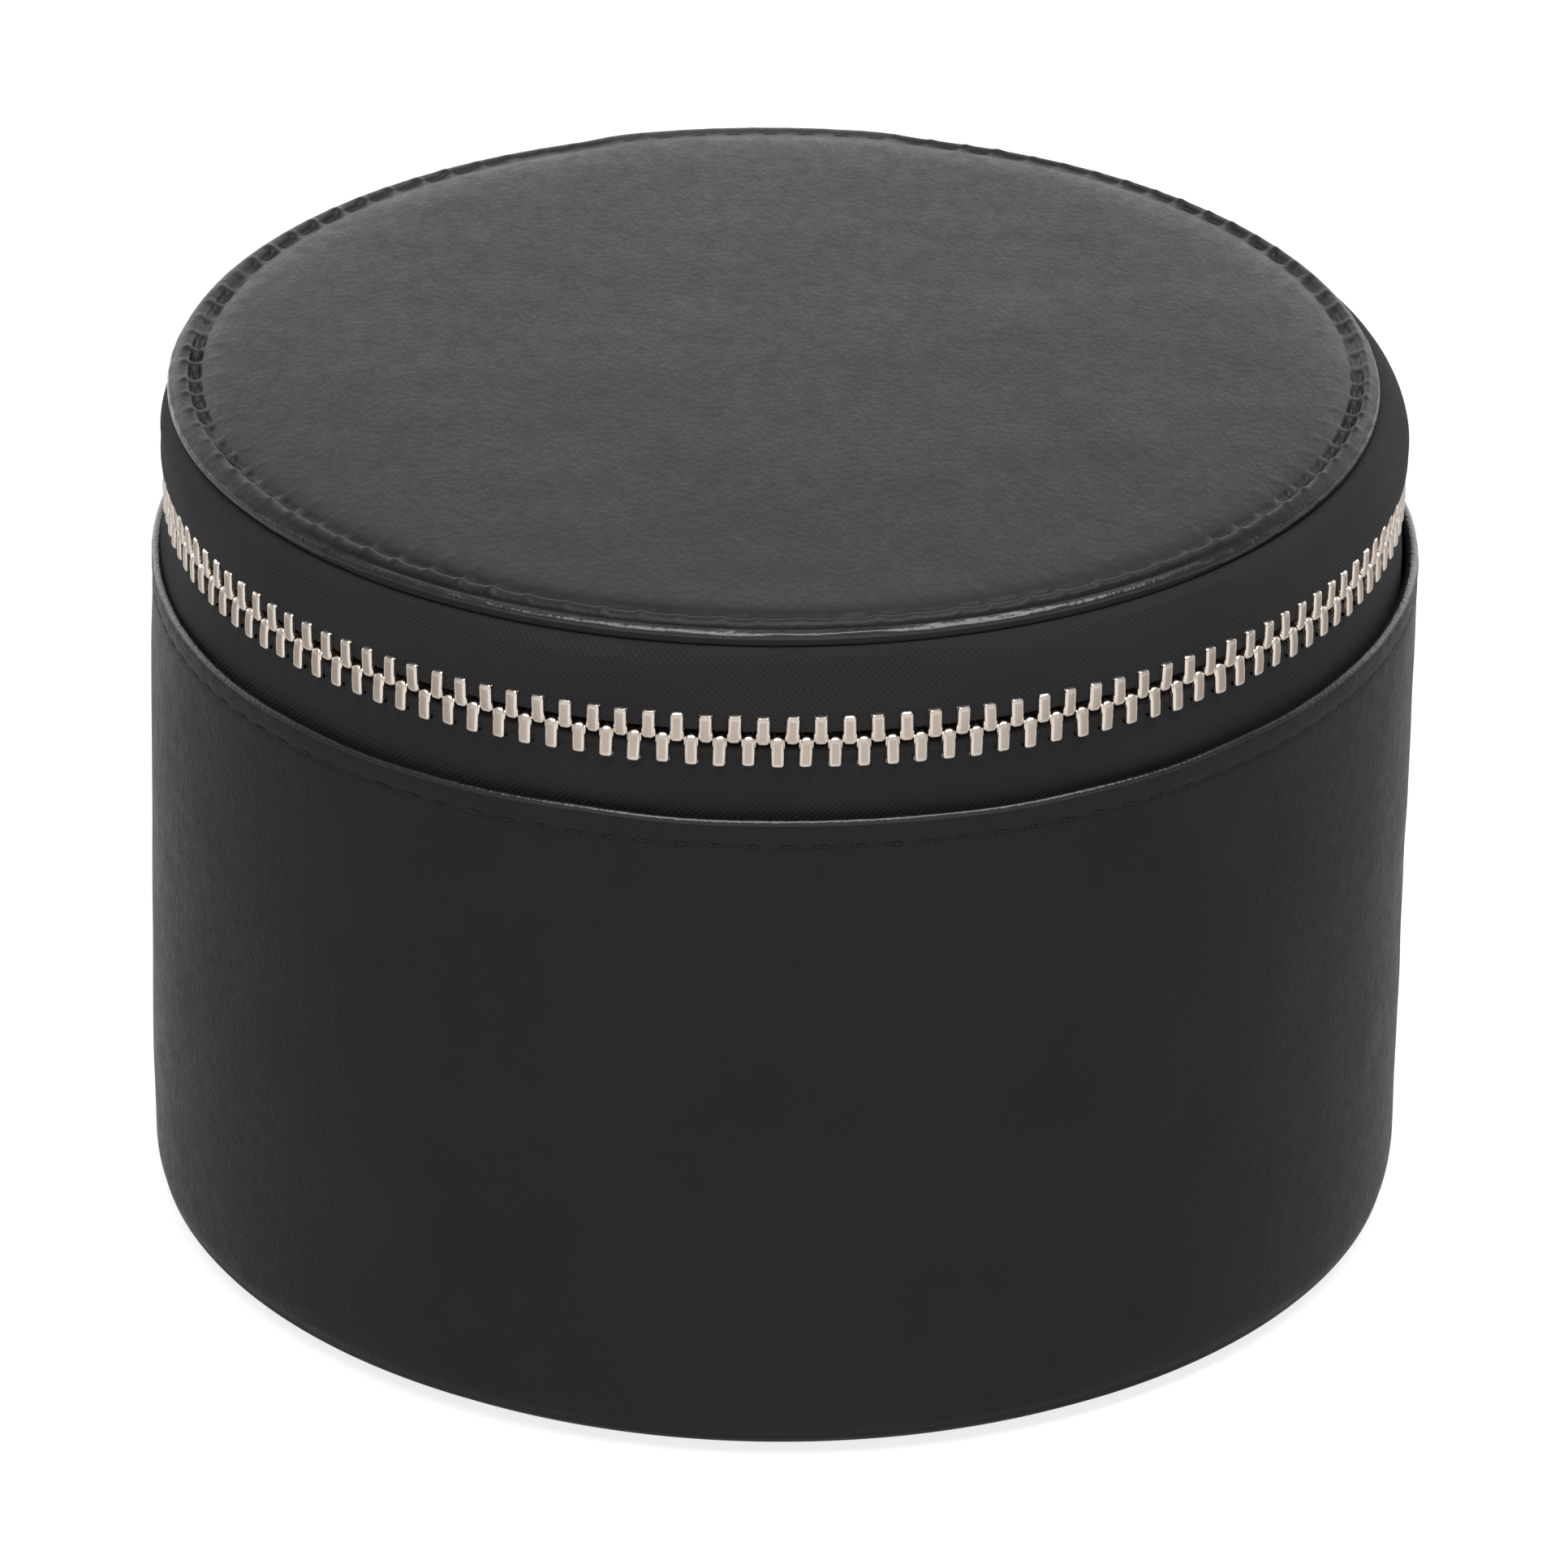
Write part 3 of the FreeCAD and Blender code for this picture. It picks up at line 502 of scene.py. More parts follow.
def smooth(x, a, b):
    t = np.clip((x - a) / (b - a), 0, 1)
    return t * t * (3 - 2 * t)


def back_angle(a):
    return np.degrees(np.abs(((a - math.pi) + math.pi) % TAU - math.pi))


def tube_mesh(paths, radius, sides=8, squash=1.0, caps=True):
    """Tubes along the given polylines (mm), as one set of verts and faces."""
    verts, faces = [], []
    for path in paths:
        P = np.asarray(path, float)
        n = len(P)
        T = np.gradient(P, axis=0)
        T /= np.linalg.norm(T, axis=1)[:, None]
        ref = np.array([0.0, 0.0, 1.0])
        if abs(T[0] @ ref) > 0.9:
            ref = np.array([1.0, 0.0, 0.0])
        base = len(verts)
        X = np.cross(T[0], ref)
        X /= np.linalg.norm(X)
        for i in range(n):
            X = X - T[i] * (X @ T[i])
            X /= np.linalg.norm(X)
            Y = np.cross(T[i], X)
            rr = radius[i] if hasattr(radius, "__len__") else radius
            for s in range(sides):
                th = TAU * s / sides
                verts.append(P[i] + rr * (X * math.cos(th) + Y * math.sin(th) * squash))
        for i in range(n - 1):
            for s in range(sides):
                s2 = (s + 1) % sides
                faces.append((base + i * sides + s, base + i * sides + s2, base + (i + 1) * sides + s2, base + (i + 1) * sides + s))
        if caps:
            faces.append(tuple(base + s for s in range(sides)))
            faces.append(tuple(base + (n - 1) * sides + s for s in range(sides)))
    return verts, faces


def closed_tube(path, radius, sides=12):
    """A tube along a closed polyline."""
    P = np.asarray(path, float)
    n = len(P)
    T = np.roll(P, -1, 0) - np.roll(P, 1, 0)
    T /= np.linalg.norm(T, axis=1)[:, None]
    c = P - P.mean(0)
    nrm = np.cross(c[0], c[n // 4])
    nrm /= np.linalg.norm(nrm)
    verts, faces = [], []
    for i in range(n):
        X = nrm
        Y = np.cross(T[i], X)
        Y /= np.linalg.norm(Y)
        for s in range(sides):
            th = TAU * s / sides
            verts.append(P[i] + radius * (X * math.cos(th) + Y * math.sin(th)))
    for i in range(n):
        i2 = (i + 1) % n
        for s in range(sides):
            s2 = (s + 1) % sides
            faces.append((i * sides + s, i * sides + s2, i2 * sides + s2, i2 * sides + s))
    return verts, faces


def ride(ob, body, *nodes, slot=None):
    if body:
        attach(ob, body)
    if nodes:
        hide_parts(*nodes)
    return ob


# ------------------------------------------------------------------ body leather
def side_push(a, at, width=27.0):
    d = (np.degrees(a) - VIEW_DEG - at + 180.0) % 360.0 - 180.0
    return np.exp(-((d / width) ** 2))


def lean(a):
    """The left of the case is pushed in a little at the top, as soft goods are."""
    return side_push(a, -93.0)


def chain_in(a):
    """How far the zip's chain dips inwards at the two sides, mm."""
    return 1.55 * side_push(a, -90.0, 27.0) + 0.60 * side_push(a, 88.0, 24.0)


N_BODY = 900
A = np.linspace(0, TAU, N_BODY, endpoint=False)
BODY = up([
    (46.0, 2.2), (46.0, 1.12), (52.0, 1.06), (56.6, 1.06), (58.2, 1.2), (59.2, 1.72), (59.76, 2.65), (59.97, 4.0),
    (60.0, 6.0), (60.0, 10.0), (60.0, 16.0), (60.0, 24.0), (60.0, 32.0), (60.0, 40.0), (60.0, 48.0), (60.0, 54.0),
    (60.0, 57.5), (60.0, 59.4), (60.0, 60.3), (59.95, 60.72), (59.87, 60.95), (59.93, 61.2), (60.0, 61.6),
    (60.02, 62.3), (60.0, 62.85), (59.9, 63.22), (59.72, 63.42), (59.48, 63.48), (59.22, 63.4), (58.98, 63.18),
    (58.84, 62.8), (58.8, 62.2), (58.8, 59.0), (58.8, 50.0), (58.8, 30.0), (58.8, 8.0), (58.7, 3.4), (58.2, 2.35),
    (56.0, 2.25), (50.0, 2.22),
])
counts = [2, 2, 2, 4, 4, 4, 4, 4, 4, 5, 6, 6, 6, 6, 5, 4, 4, 4, 4, 4, 4, 4, 4, 4, 4, 4, 4, 4, 4, 4, 4, 4, 3, 3, 3, 3, 3, 3, 2]
B = spline_basis(BODY, counts)
prof = B @ np.array(BODY)
where = B @ np.arange(len(BODY))
r = np.tile(prof[:, 0], (N_BODY, 1))
z = np.tile(prof[:, 1], (N_BODY, 1))
aa = A[:, None] + 0 * r
outer = smooth(r, 59.0, 59.7) * (where < 30)
z0 = z.copy()
r -= 0.40 * (1 - z0 / RIM_Z) * outer
r -= (1.0 * lean(aa) * smooth(z0, 10.0, 66.0) + 0.28 * side_push(aa, -97.0, 24.0) * smooth(z0, 54.0, 66.0)) * (where > 3.5) * (where < 34)
swell, ripple = wobble(3, 10, 2, 9, 60), wobble(5, 16, 14, 44, 14)
r += outer * (0.050 * swell(aa, z0) + 0.014 * ripple(aa, z0))
STITCHES_BODY = 116
ph = aa * STITCHES_BODY
rim_zone = np.exp(-(((z0 - 63.55) / 0.6) ** 2)) * outer
lip_zone = np.exp(-(((z0 - 65.1) / 0.7) ** 2)) * outer
puck = wobble(11, 8, 3, 17, 30)
r += rim_zone * 0.022 * np.cos(ph) * (0.8 + 0.4 * puck(aa, z0)) + lip_zone * 0.014 * np.cos(ph)
z -= 0.30 * smooth(z0, 56.0, 63.0) * (where < 34)
z += smooth(z0, 63.8, 65.8) * (0.05 * wobble(17, 9, 3, 26, 50)(aa, z0) + 0.10 * wobble(19, 5, 2, 5, 1e6)(aa, z0)) * (where < 31)
# overlapped seam of the wall leather down the back
arc = (((aa - math.pi) + math.pi) % TAU - math.pi) * BODY_R
lap = np.where(arc > 0, np.exp(-np.maximum(arc, 0) / 5.5), 0.0) * smooth(arc, -0.1, 0.35)
groove = np.exp(-((arc / 0.45) ** 2))
r += outer * (0.30 * lap - 0.16 * groove) * smooth(z0, 1.5, 4.0)
body_skin = swept("body_skin", r, z, A, LEATHER, u_rad=60.0, edge=(where > 24.3) & (where < 29.5), edge_mat=LEATHER_EDGE)
ride(body_skin, "case", "body_leather", slot="leather")


def stitch_row(name, count, place, mat, radius=0.21, skip=None, fill=0.93, rise=0.10, sink=0.34, slant=0.13, squash=1.0):
    """Sewing stitches: place(angle) gives a point, the side direction and the outward normal."""
    paths = []
    for i in range(count):
        a0, a1 = TAU * (i + 0.5 - fill / 2) / count, TAU * (i + 0.5 + fill / 2) / count
        if skip is not None and skip((a0 + a1) / 2):
            continue
        pts = []
        for s in np.linspace(0, 1, 11):
            p, side, nrm = place(a0 + (a1 - a0) * s)
            lift = rise - (rise + sink) * abs(2 * s - 1) ** 5
            pts.append(p + nrm * lift + side * slant * (0.5 - s))
        paths.append(pts)
    v, f = tube_mesh(paths, radius, 8, squash)
    return finish_mesh(name, v, f, mat)


def at_body_rim(a):
    e = np.array([math.sin(a), -math.cos(a), 0.0])
    skin = 0.050 * float(swell(np.array(a), np.array(63.5))) + 0.014 * float(ripple(np.array(a), np.array(63.5)))
    return e * (59.84 + skin - 0.99 * float(lean(a)) - 0.23 * float(side_push(a, -97.0, 24.0))) + np.array([0, 0, 63.25]), np.array([0, 0, 1.0]), e


body_thread = stitch_row("body_rim_stitching", STITCHES_BODY, at_body_rim, THREAD, radius=0.12, fill=0.80, rise=0.0, sink=0.3)
ride(body_thread, "case")
seam_paths = []
for i in range(17):
    z_0 = 6.0 + i * 3.3
    pts = []
    for s in np.linspace(0, 1, 9):
        a = math.pi + 2.3 / BODY_R
        zz = z_0 + 2.75 * s
        lift = 0.02 - 0.36 * abs(2 * s - 1) ** 5
        skin = 0.050 * float(swell(np.array(a), np.array(zz))) + 0.014 * float(ripple(np.array(a), np.array(zz)))
        rr = 60.03 - 0.40 * (1 - zz / RIM_Z) + 0.30 * math.exp(-2.3 / 5.5) + skin + lift
        pts.append(np.array([rr * math.sin(a), -rr * math.cos(a), zz]))
    seam_paths.append(pts)
v, f = tube_mesh(seam_paths, 0.18, 8)
ride(finish_mesh("back_seam_stitching", v, f, THREAD), "case")

# underside panel
BASE = [(0, 0.0), (20, 0.0), (40, 0.0), (54.0, 0.0), (56.2, 0.03), (56.95, 0.18), (57.2, 0.5), (57.05, 0.85), (56.4, 1.0), (50, 1.0), (30, 1.0), (0, 1.0)]
prof = spline_basis(BASE, 4) @ np.array(BASE)
prof[:, 0] = np.maximum(prof[:, 0], 0)
prof[:, 1] = np.maximum(prof[:, 1], 0)
Ab = np.linspace(0, TAU, 256, endpoint=False)
base_panel = swept("base_panel", np.tile(prof[:, 0], (256, 1)), np.tile(prof[:, 1], (256, 1)), Ab, UNDER, loop=False, weld=True)
ride(base_panel, "case", "base_cover", slot="base_fabric")

# ------------------------------------------------------------------ lid
STITCHES_LID = 98
N_LID = STITCHES_LID * 20
A = np.linspace(0, TAU, N_LID, endpoint=False)
INNER = [(51.0, 78.62), (50.1, 78.8), (50.05, 79.6), (49.0, 80.1), (44.0, 80.6), (30.0, 81.25), (12, 81.6), (0, 81.65)]
FRONT_PAD = [(0, 82.3), (10, 82.2), (20, 81.96), (30, 81.59), (38, 81.21), (44, 80.88), (48, 80.64), (50.6, 80.48)]
PAD = [(0, 82.3), (10, 82.29), (20, 82.25), (30, 82.15), (38, 82.0), (44, 81.8), (48, 81.56)]
RIM = up(FRONT_PAD + [  # front: pad, seam, flange, step, turned edge, and back underneath
    (52.0, 80.36), (52.8, 80.23), (53.4, 80.05), (53.95, 79.93), (54.3, 80.02), (54.55, 80.28), (54.82, 80.42),
    (55.18, 80.34), (55.5, 80.16), (55.7, 79.94), (55.81, 79.74), (55.98, 79.67), (56.12, 79.63), (56.28, 79.53),
    (56.42, 79.38), (56.5, 79.0), (56.48, 78.44), (56.0, 78.42), (54.0, 78.54),
] + INNER)
SIDE = up(PAD + [  # sides and back: the flange rolls over in one curve
    (50.6, 81.22), (52.0, 80.9), (52.8, 80.59), (53.4, 80.29), (53.95, 80.12), (54.3, 80.2), (54.55, 80.33), (54.82, 80.42),
    (55.15, 80.41), (55.45, 80.32), (55.7, 80.18), (55.9, 80.02), (56.08, 79.84), (56.25, 79.64), (56.39, 79.43),
    (56.48, 79.2), (56.5, 78.94), (56.4, 78.68), (56.0, 78.56), (54.0, 78.58),
] + INNER)
FLAP = up(PAD + [  # over the hinge the padding stands higher and the edge runs on, rounded, into the hinge leather
    (50.6, 81.3), (52.0, 81.04), (52.8, 80.83), (53.4, 80.67), (53.95, 80.61), (54.3, 80.62), (54.55, 80.63), (54.82, 80.65),
    (55.2, 80.64), (55.7, 80.51), (56.25, 80.24), (56.75, 79.88), (57.2, 79.42), (57.55, 78.98), (57.76, 78.6),
    (57.8, 78.3), (57.68, 78.08), (57.4, 77.96), (56.8, 77.98), (55.0, 78.35),
] + INNER)
cnt = [3, 4, 4, 5, 5, 5, 5, 6, 6, 5, 6, 6, 5, 5, 5, 5, 5, 5, 5, 5, 5, 5, 5, 4, 4, 3, 2, 2, 2, 2, 2, 2, 2, 2]
B = spline_basis(RIM, cnt)
where = B @ np.arange(len(RIM))


def flap_at(a):
    return 1 - smooth(back_angle(a), 12.4, 18.6)


def settle(x, y):
    """The lid lies a touch to the left, higher at the front than at the hinge, as it closes on a soft tape."""
    return -0.6, 0.085 - 0.0080 * y


def seam_depth(a):
    """How deep the stitches sink: most at the two sides, where the leather was pulled round the curve."""
    d = np.abs((np.degrees(a) - VIEW_DEG + 180.0) % 360.0 - 180.0)
    return 0.33 * (0.28 + 0.72 * np.exp(-(((d - 90.0) / 32.0) ** 2)))


def seam_out(a):
    """The seam runs a little nearer the edge on the right, mm."""
    return 0.45 * (0.5 + 0.5 * np.sin(a - math.radians(VIEW_DEG))) ** 2


flap = flap_at(A)
turned = np.abs((np.degrees(A) - VIEW_DEG + 180.0) % 360.0 - 180.0)  # angle from the front, degrees
roll_w = smooth(turned, 34.0, 60.0) * (1 - flap)
slack = 1 - (0.5 + 0.5 * np.cos(np.radians(turned))) ** 2  # the padding is thinnest at the front
w_side = np.where(np.arange(len(RIM))[None, :] <= 11, slack[:, None], smooth(turned, 34.0, 60.0)[:, None])[:, :, None]
C = (1 - w_side) * np.array(RIM)[None] + w_side * np.array(SIDE)[None]
C = (1 - flap)[:, None, None] * C + flap[:, None, None] * np.array(FLAP)[None]
r = np.einsum("mk,nk->nm", B, C[:, :, 0])
z = np.einsum("mk,nk->nm", B, C[:, :, 1])
base_r = np.tile((B @ np.array(RIM))[:, 0], (N_LID, 1))
top_side = (where < 22.5).astype(float)[None, :]
aa = A[:, None] + 0 * r
ph = aa * STITCHES_LID
# distance along the seam from the nearest needle hole, mm: the leather stands up between two stitches
hole = ((ph + math.pi) % TAU - math.pi) / TAU * (TAU * SEAM_R / STITCHES_LID)
hole = hole + 0.10 * wobble(43, 12, 20, 70, 1e6)(aa, 0)
bridge_w = np.exp(-((hole / 0.50) ** 2))
dimple = smooth(np.abs(hole), 0.22, 0.92)
uneven = np.clip(1.0 + 0.28 * wobble(23, 12, 3, 40, 1e6)(aa, 0), 0.45, 1.6)
jit = wobble(29, 9, 5, 31, 1e6)(aa, 0)
soft = 1 - 0.55 * flap[:, None]
well = smooth(base_r, 53.15, 53.62) * (1 - smooth(base_r, 54.25, 54.62)) * (where < 15)
ridge = np.exp(-(((base_r - 54.85) / 0.60) ** 2)) * (where < 18.5)
ledge = np.exp(-(((where - 20.5) / 1.6) ** 2))
inner = np.exp(-(((base_r - 52.2) / 1.0) ** 2)) * (where < 15)
z += soft * uneven * (
    -seam_depth(aa) * well * dimple + ridge * (0.15 * bridge_w - 0.05 + 0.03 * np.cos(0.5 * ph + jit)) + inner * (0.025 * bridge_w - 0.008)
)
z += 0.20 * smooth(turned, 100.0, 140.0)[:, None] * (1 - flap[:, None]) * np.exp(-(((base_r - 53.85) / 0.55) ** 2)) * (where < 15)
r += seam_out(aa) * smooth(base_r, 44.0, 53.2) * (1 - smooth(base_r, 54.6, 56.1)) * (where < 19)
rough_edge = wobble(31, 18, 20, 120, 1e6)(aa, 0)
z += ledge * (0.035 * wobble(33, 10, 6, 48, 1e6)(aa, 0) + 0.014 * rough_edge) * (1 - flap[:, None])
r += ledge * (0.02 * np.cos(ph + 0.6) * uneven + 0.06 * wobble(37, 8, 3, 15, 1e6)(aa, 0) + 0.010 * rough_edge) * (1 - flap[:, None])
pad = np.clip((53.0 - base_r) / 6.0, 0, 1)
X, Y = base_r * np.sin(aa), -base_r * np.cos(aa)
rng = np.random.default_rng(41)
for _ in range(14):
    kx, ky, p0 = rng.normal(0, TAU / 42, 2).tolist() + [rng.uniform(0, TAU)]
    z += top_side * pad * 0.012 * np.sin(kx * X + ky * Y + p0)
for _ in range(16):
    kx, ky, p0 = rng.normal(0, TAU / 15, 2).tolist() + [rng.uniform(0, TAU)]
    z += top_side * pad * 0.005 * np.sin(kx * X + ky * Y + p0)
free = 1 - smooth(where, 24.0, 27.0)[None, :]
dx, dz = settle(X, Y)
r, z = r + free * dx * np.sin(aa) * smooth(base_r, 0.0, 8.0), z + free * dz
lid_pad = swept(
    "lid_pad", r, z, A, LEATHER_LID, loop=False, weld=True, u_rad=56.0, t=free * dx * np.cos(aa) * smooth(base_r, 0.0, 8.0),
    edge=(where[None, :] > 18.3 + 2.3 * roll_w[:, None]) & (where[None, :] < 22.7 + 0.7 * roll_w[:, None]) & (flap < 0.5)[:, None], edge_mat=LEATHER_EDGE,
)
ride(lid_pad, "lid", "lid_leather", slot="leather")


def at_lid_seam(a):
    e = np.array([math.sin(a), -math.cos(a), 0.0])
    lift = float(flap_at(np.array(a)))
    far = abs((math.degrees(a) - VIEW_DEG + 180.0) % 360.0 - 180.0)
    bed = 79.88 + 0.20 * float(smooth(np.array(far), 34.0, 60.0)) + 0.20 * float(smooth(np.array(far), 100.0, 140.0))
    bed = bed * (1 - lift) + 80.57 * lift - (1 - 0.55 * lift) * float(seam_depth(a))
    p = e * (SEAM_R + float(seam_out(a))) + np.array([0, 0, bed + RAISE])
    dx, dz = settle(p[0], p[1])
    return p + np.array([dx, 0, dz]), e, np.array([0, 0, 1.0])


lid_thread = stitch_row("lid_rim_stitching", STITCHES_LID, at_lid_seam, THREAD, radius=0.20, fill=0.66, rise=-0.07, sink=0.4, slant=0.2, squash=0.8)
ride(lid_thread, "lid")


# ------------------------------------------------------------------ zip tapes
def tape_piece(name, ctrl, counts, a0, a1, wave):
    n = max(24, int((a1 - a0) * 58 / 0.55))
    a = np.linspace(0, 1, n) * (a1 - a0) + a0
    Bt = spline_basis(ctrl, counts)
    p = Bt @ np.array(ctrl)
    rr, zz = np.tile(p[:, 0], (n, 1)), np.tile(p[:, 1], (n, 1))
    al = a[:, None] + 0 * rr
    low, over = 1 - smooth(zz, 64.0, 70.0), smooth(zz, 74.1, 75.5)
    lifted = (0.92 - 0.45 * smooth(zz, 77.0, 79.5) - 0.47 * smooth(zz, 80.0, 81.1)) * side_push(al, -90.0, 27.0)
    rr = rr + wave(al, zz) - chain_in(al) * (1 - low) * (1 - over) - lifted * over
    zz = zz + smooth(zz, 77.0, 80.6) * settle(0, -rr * np.cos(al))[1]
    return swept(name, rr, zz, a, TAPE, wrap=False, loop=True, u_rad=58.2, sharp=70)


LOW_CTRL = up([
    (57.9, 56.0), (58.5, 56.0), (58.5, 60.0), (58.5, 63.0), (58.5, 66.0), (58.5, 68.2), (58.56, 68.8), (58.74, 69.25),
    (58.72, 69.7), (58.45, 69.95), (58.2, 69.98), (57.95, 69.95), (57.68, 69.7), (57.66, 69.25), (57.84, 68.8),
    (57.9, 68.2), (57.9, 63.0), (57.9, 58.0),
])
w_low = wobble(51, 8, 3, 14, 40)
tape_lower = tape_piece(
    "tape_lower", LOW_CTRL, 3, math.radians(-162), math.radians(162),
    lambda a, zz: 0.10 * w_low(a, zz) * smooth(zz, 64.6, 67.1) * (1 - smooth(zz, 69.1, 71.1)),
)
ride(tape_lower, "case", "lower_zip_tape", slot="tape")

UP_CTRL = up([
    (57.95, 73.2), (57.84, 72.6), (57.66, 72.15), (57.68, 71.7), (57.95, 71.45), (58.2, 71.42), (58.45, 71.45),
    (58.72, 71.7), (58.76, 72.15), (58.72, 72.6), (58.74, 73.2), (58.64, 74.4), (58.46, 75.4), (58.16, 76.4), (57.7, 77.35),
    (57.12, 78.06), (56.4, 78.38), (55.0, 78.5), (51.0, 78.54), (51.0, 78.14), (54.2, 78.1), (55.75, 77.93),
    (56.52, 77.55), (57.08, 76.97), (57.55, 76.1), (57.84, 75.1), (58.0, 74.2), (58.04, 73.7),
])
w_up, w_up2 = wobble(61, 8, 3, 12, 40), wobble(67, 9, 9, 30, 25)


def upper_wave(a, zz):
    bulge = smooth(zz, 75.6, 78.0) * (1 - smooth(zz, 79.6, 80.6))
    ends = 1 - smooth(np.abs(a), math.radians(132), math.radians(146))  # smooth where the slider stops
    return bulge * ends * (0.12 * w_up(a, zz) + 0.05 * w_up2(a, zz))


TAIL_L, TAIL_R = math.radians(-146.6), math.radians(149.6)
tape_upper = tape_piece("tape_upper", UP_CTRL, 3, TAIL_L, TAIL_R, upper_wave)
ride(tape_upper, "lid", "upper_zip_tape", slot="tape")
for side, a0, a1 in (("right", TAIL_R, math.radians(162)), ("left", math.radians(-162), TAIL_L)):
    ob = tape_piece("tape_upper_tail_" + side, UP_CTRL, 3, a0, a1, upper_wave)
    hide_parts("upper_tape_tail_" + side)
    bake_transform(ob)


# ------------------------------------------------------------------ zip teeth and stops
def tooth_shape(width=0.575, head=0.53, top=2.54, nose=-0.44):
    """One cast tooth: a rounded head and two legs that straddle the tape. Axes: along the chain, outward, up."""
    half_ring = [
        (0.62, top), (0.86, top - 0.07), (0.97, top - 0.20), (1.0, top - 0.36), (1.0, 1.6), (1.0, 1.0), (0.985, 0.66),
        (0.95, 0.40), (0.93, 0.14), (0.87, nose + 0.30), (0.74, nose + 0.13), (0.54, nose + 0.03), (0.3, nose),
    ]
    ring = np.array(
        half_ring
        + [(-n_, z_) for n_, z_ in half_ring[::-1]]
        + [(-0.46, top), (-0.4, top - 0.10), (-0.4, 0.86), (-0.3, 0.74), (0.3, 0.74), (0.4, 0.86), (0.4, top - 0.10), (0.46, top)]
    )

    def half(zv):
        return np.interp(
            zv,
            [nose, nose + 0.03, nose + 0.13, nose + 0.30, 0.2, 0.66, 1.0, top - 0.36, top],
            [head * 0.60, head * 0.72, head * 0.88, head * 0.98, head, width - 0.02, width, width, width - 0.03],
        )

    tang = np.roll(ring, -1, 0) - np.roll(ring, 1, 0)
    nrm = np.stack([tang[:, 1], -tang[:, 0]], 1)
    nrm /= np.linalg.norm(nrm, axis=1)[:, None]

    def area(q):
        return 0.5 * np.sum(q[:, 0] * np.roll(q[:, 1], -1) - np.roll(q[:, 0], -1) * q[:, 1])

    if abs(area(ring + 0.02 * nrm)) > abs(area(ring)):
        nrm = -nrm
    w = half(ring[:, 1])
    verts, faces = [], []
    m = len(ring)
    full = 1 - smooth(ring[:, 1], 0.30, 0.66)
    crown = ((-1, 0), (0.0, 0.17), (0.045, 0.085), (0.13, 0.03), (0.29, 0.0))
    rows = [(-1, b, i) for b, i in crown] + [(1, b, i) for b, i in crown[::-1]]
    for sgn, back, inset in rows:
        shift = inset + 0 * full if back >= 0 else 0.185 + 0.02 * full
        side = w - back if back >= 0 else w + 0.004 + 0.098 * full
        for (n_, z_), wv in zip(ring + shift[:, None] * nrm, side):
            verts.append((sgn * max(wv, 0.02), n_, z_))
    for a in range(len(rows) - 1):
        for i in range(m):
            i2 = (i + 1) % m
            faces.append((a * m + i, a * m + i2, (a + 1) * m + i2, (a + 1) * m + i))
    faces.append(tuple(range(m)))
    faces.append(tuple((len(rows) - 1) * m + i for i in range(m)))
    return np.array(verts), faces


def place_teeth(name, angles, upward, shape, seed):
    rng = np.random.default_rng(seed)
    V, F = shape
    verts, faces, uv = [], [], []
    for a in angles:
        tilt, lift, out, turn = rng.normal(0, 0.016), rng.normal(0, 0.035), rng.normal(0, 0.022), rng.normal(0, 0.05)
        nod = rng.normal(0, 0.025)
        t, n_, z_ = V[:, 0], V[:, 1] + out, V[:, 2] + lift
        t = t + tilt * z_
        n_ = n_ + turn * t + nod * (z_ - 1.0)
        e_r = np.array([math.sin(a), -math.cos(a), 0.0])
        e_t = np.array([math.cos(a), math.sin(a), 0.0])
        base = len(verts)
        P = e_r * (58.2 - float(chain_in(a)) + n_)[:, None] + e_t * t[:, None]
        P[:, 2] = CHAIN_Z + (z_ if upward else -z_)
        verts += list(P)
        for f in F:
            faces.append(tuple(base + i for i in f))
            uv += [(V[i, 0], V[i, 2]) for i in f]
    return finish_mesh(name, verts, faces, TOOTH_METAL, uv, sharp=32)


TOOTH = tooth_shape()
up_angles = [math.radians(PHASE + k * PITCH) for k in range(-63, 63)]
low_angles = [math.radians(PHASE + (k - 0.5) * PITCH) for k in range(-63, 63)]
teeth_lower = place_teeth("teeth_lower", low_angles, False, TOOTH, 71)
ride(teeth_lower, "case", "lower_zip_teeth", slot="zip_metal")
mid_up = [a for a in up_angles if TAIL_L + 0.012 < a < TAIL_R - 0.012]
teeth_upper = place_teeth("teeth_upper", mid_up, True, TOOTH, 73)
ride(teeth_upper, "lid", "upper_zip_teeth", slot="zip_metal")
for side, pick in (("right", [a for a in up_angles if a >= TAIL_R - 0.012]), ("left", [a for a in up_angles if a <= TAIL_L + 0.012])):
    ob = place_teeth("teeth_upper_tail_" + side, pick, True, TOOTH, 79)
    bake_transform(ob)

STOP = tooth_shape(0.60, 0.58, 2.3, 0.30)
ob = place_teeth("top_stop_lower", [math.radians(158.25)], False, STOP, 83)
ride(ob, "case", "lower_top_stop", slot="zip_metal")
ob = place_teeth("top_stop_upper", [math.radians(158.25)], True, STOP, 89)
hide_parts("upper_top_stop")
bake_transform(ob)


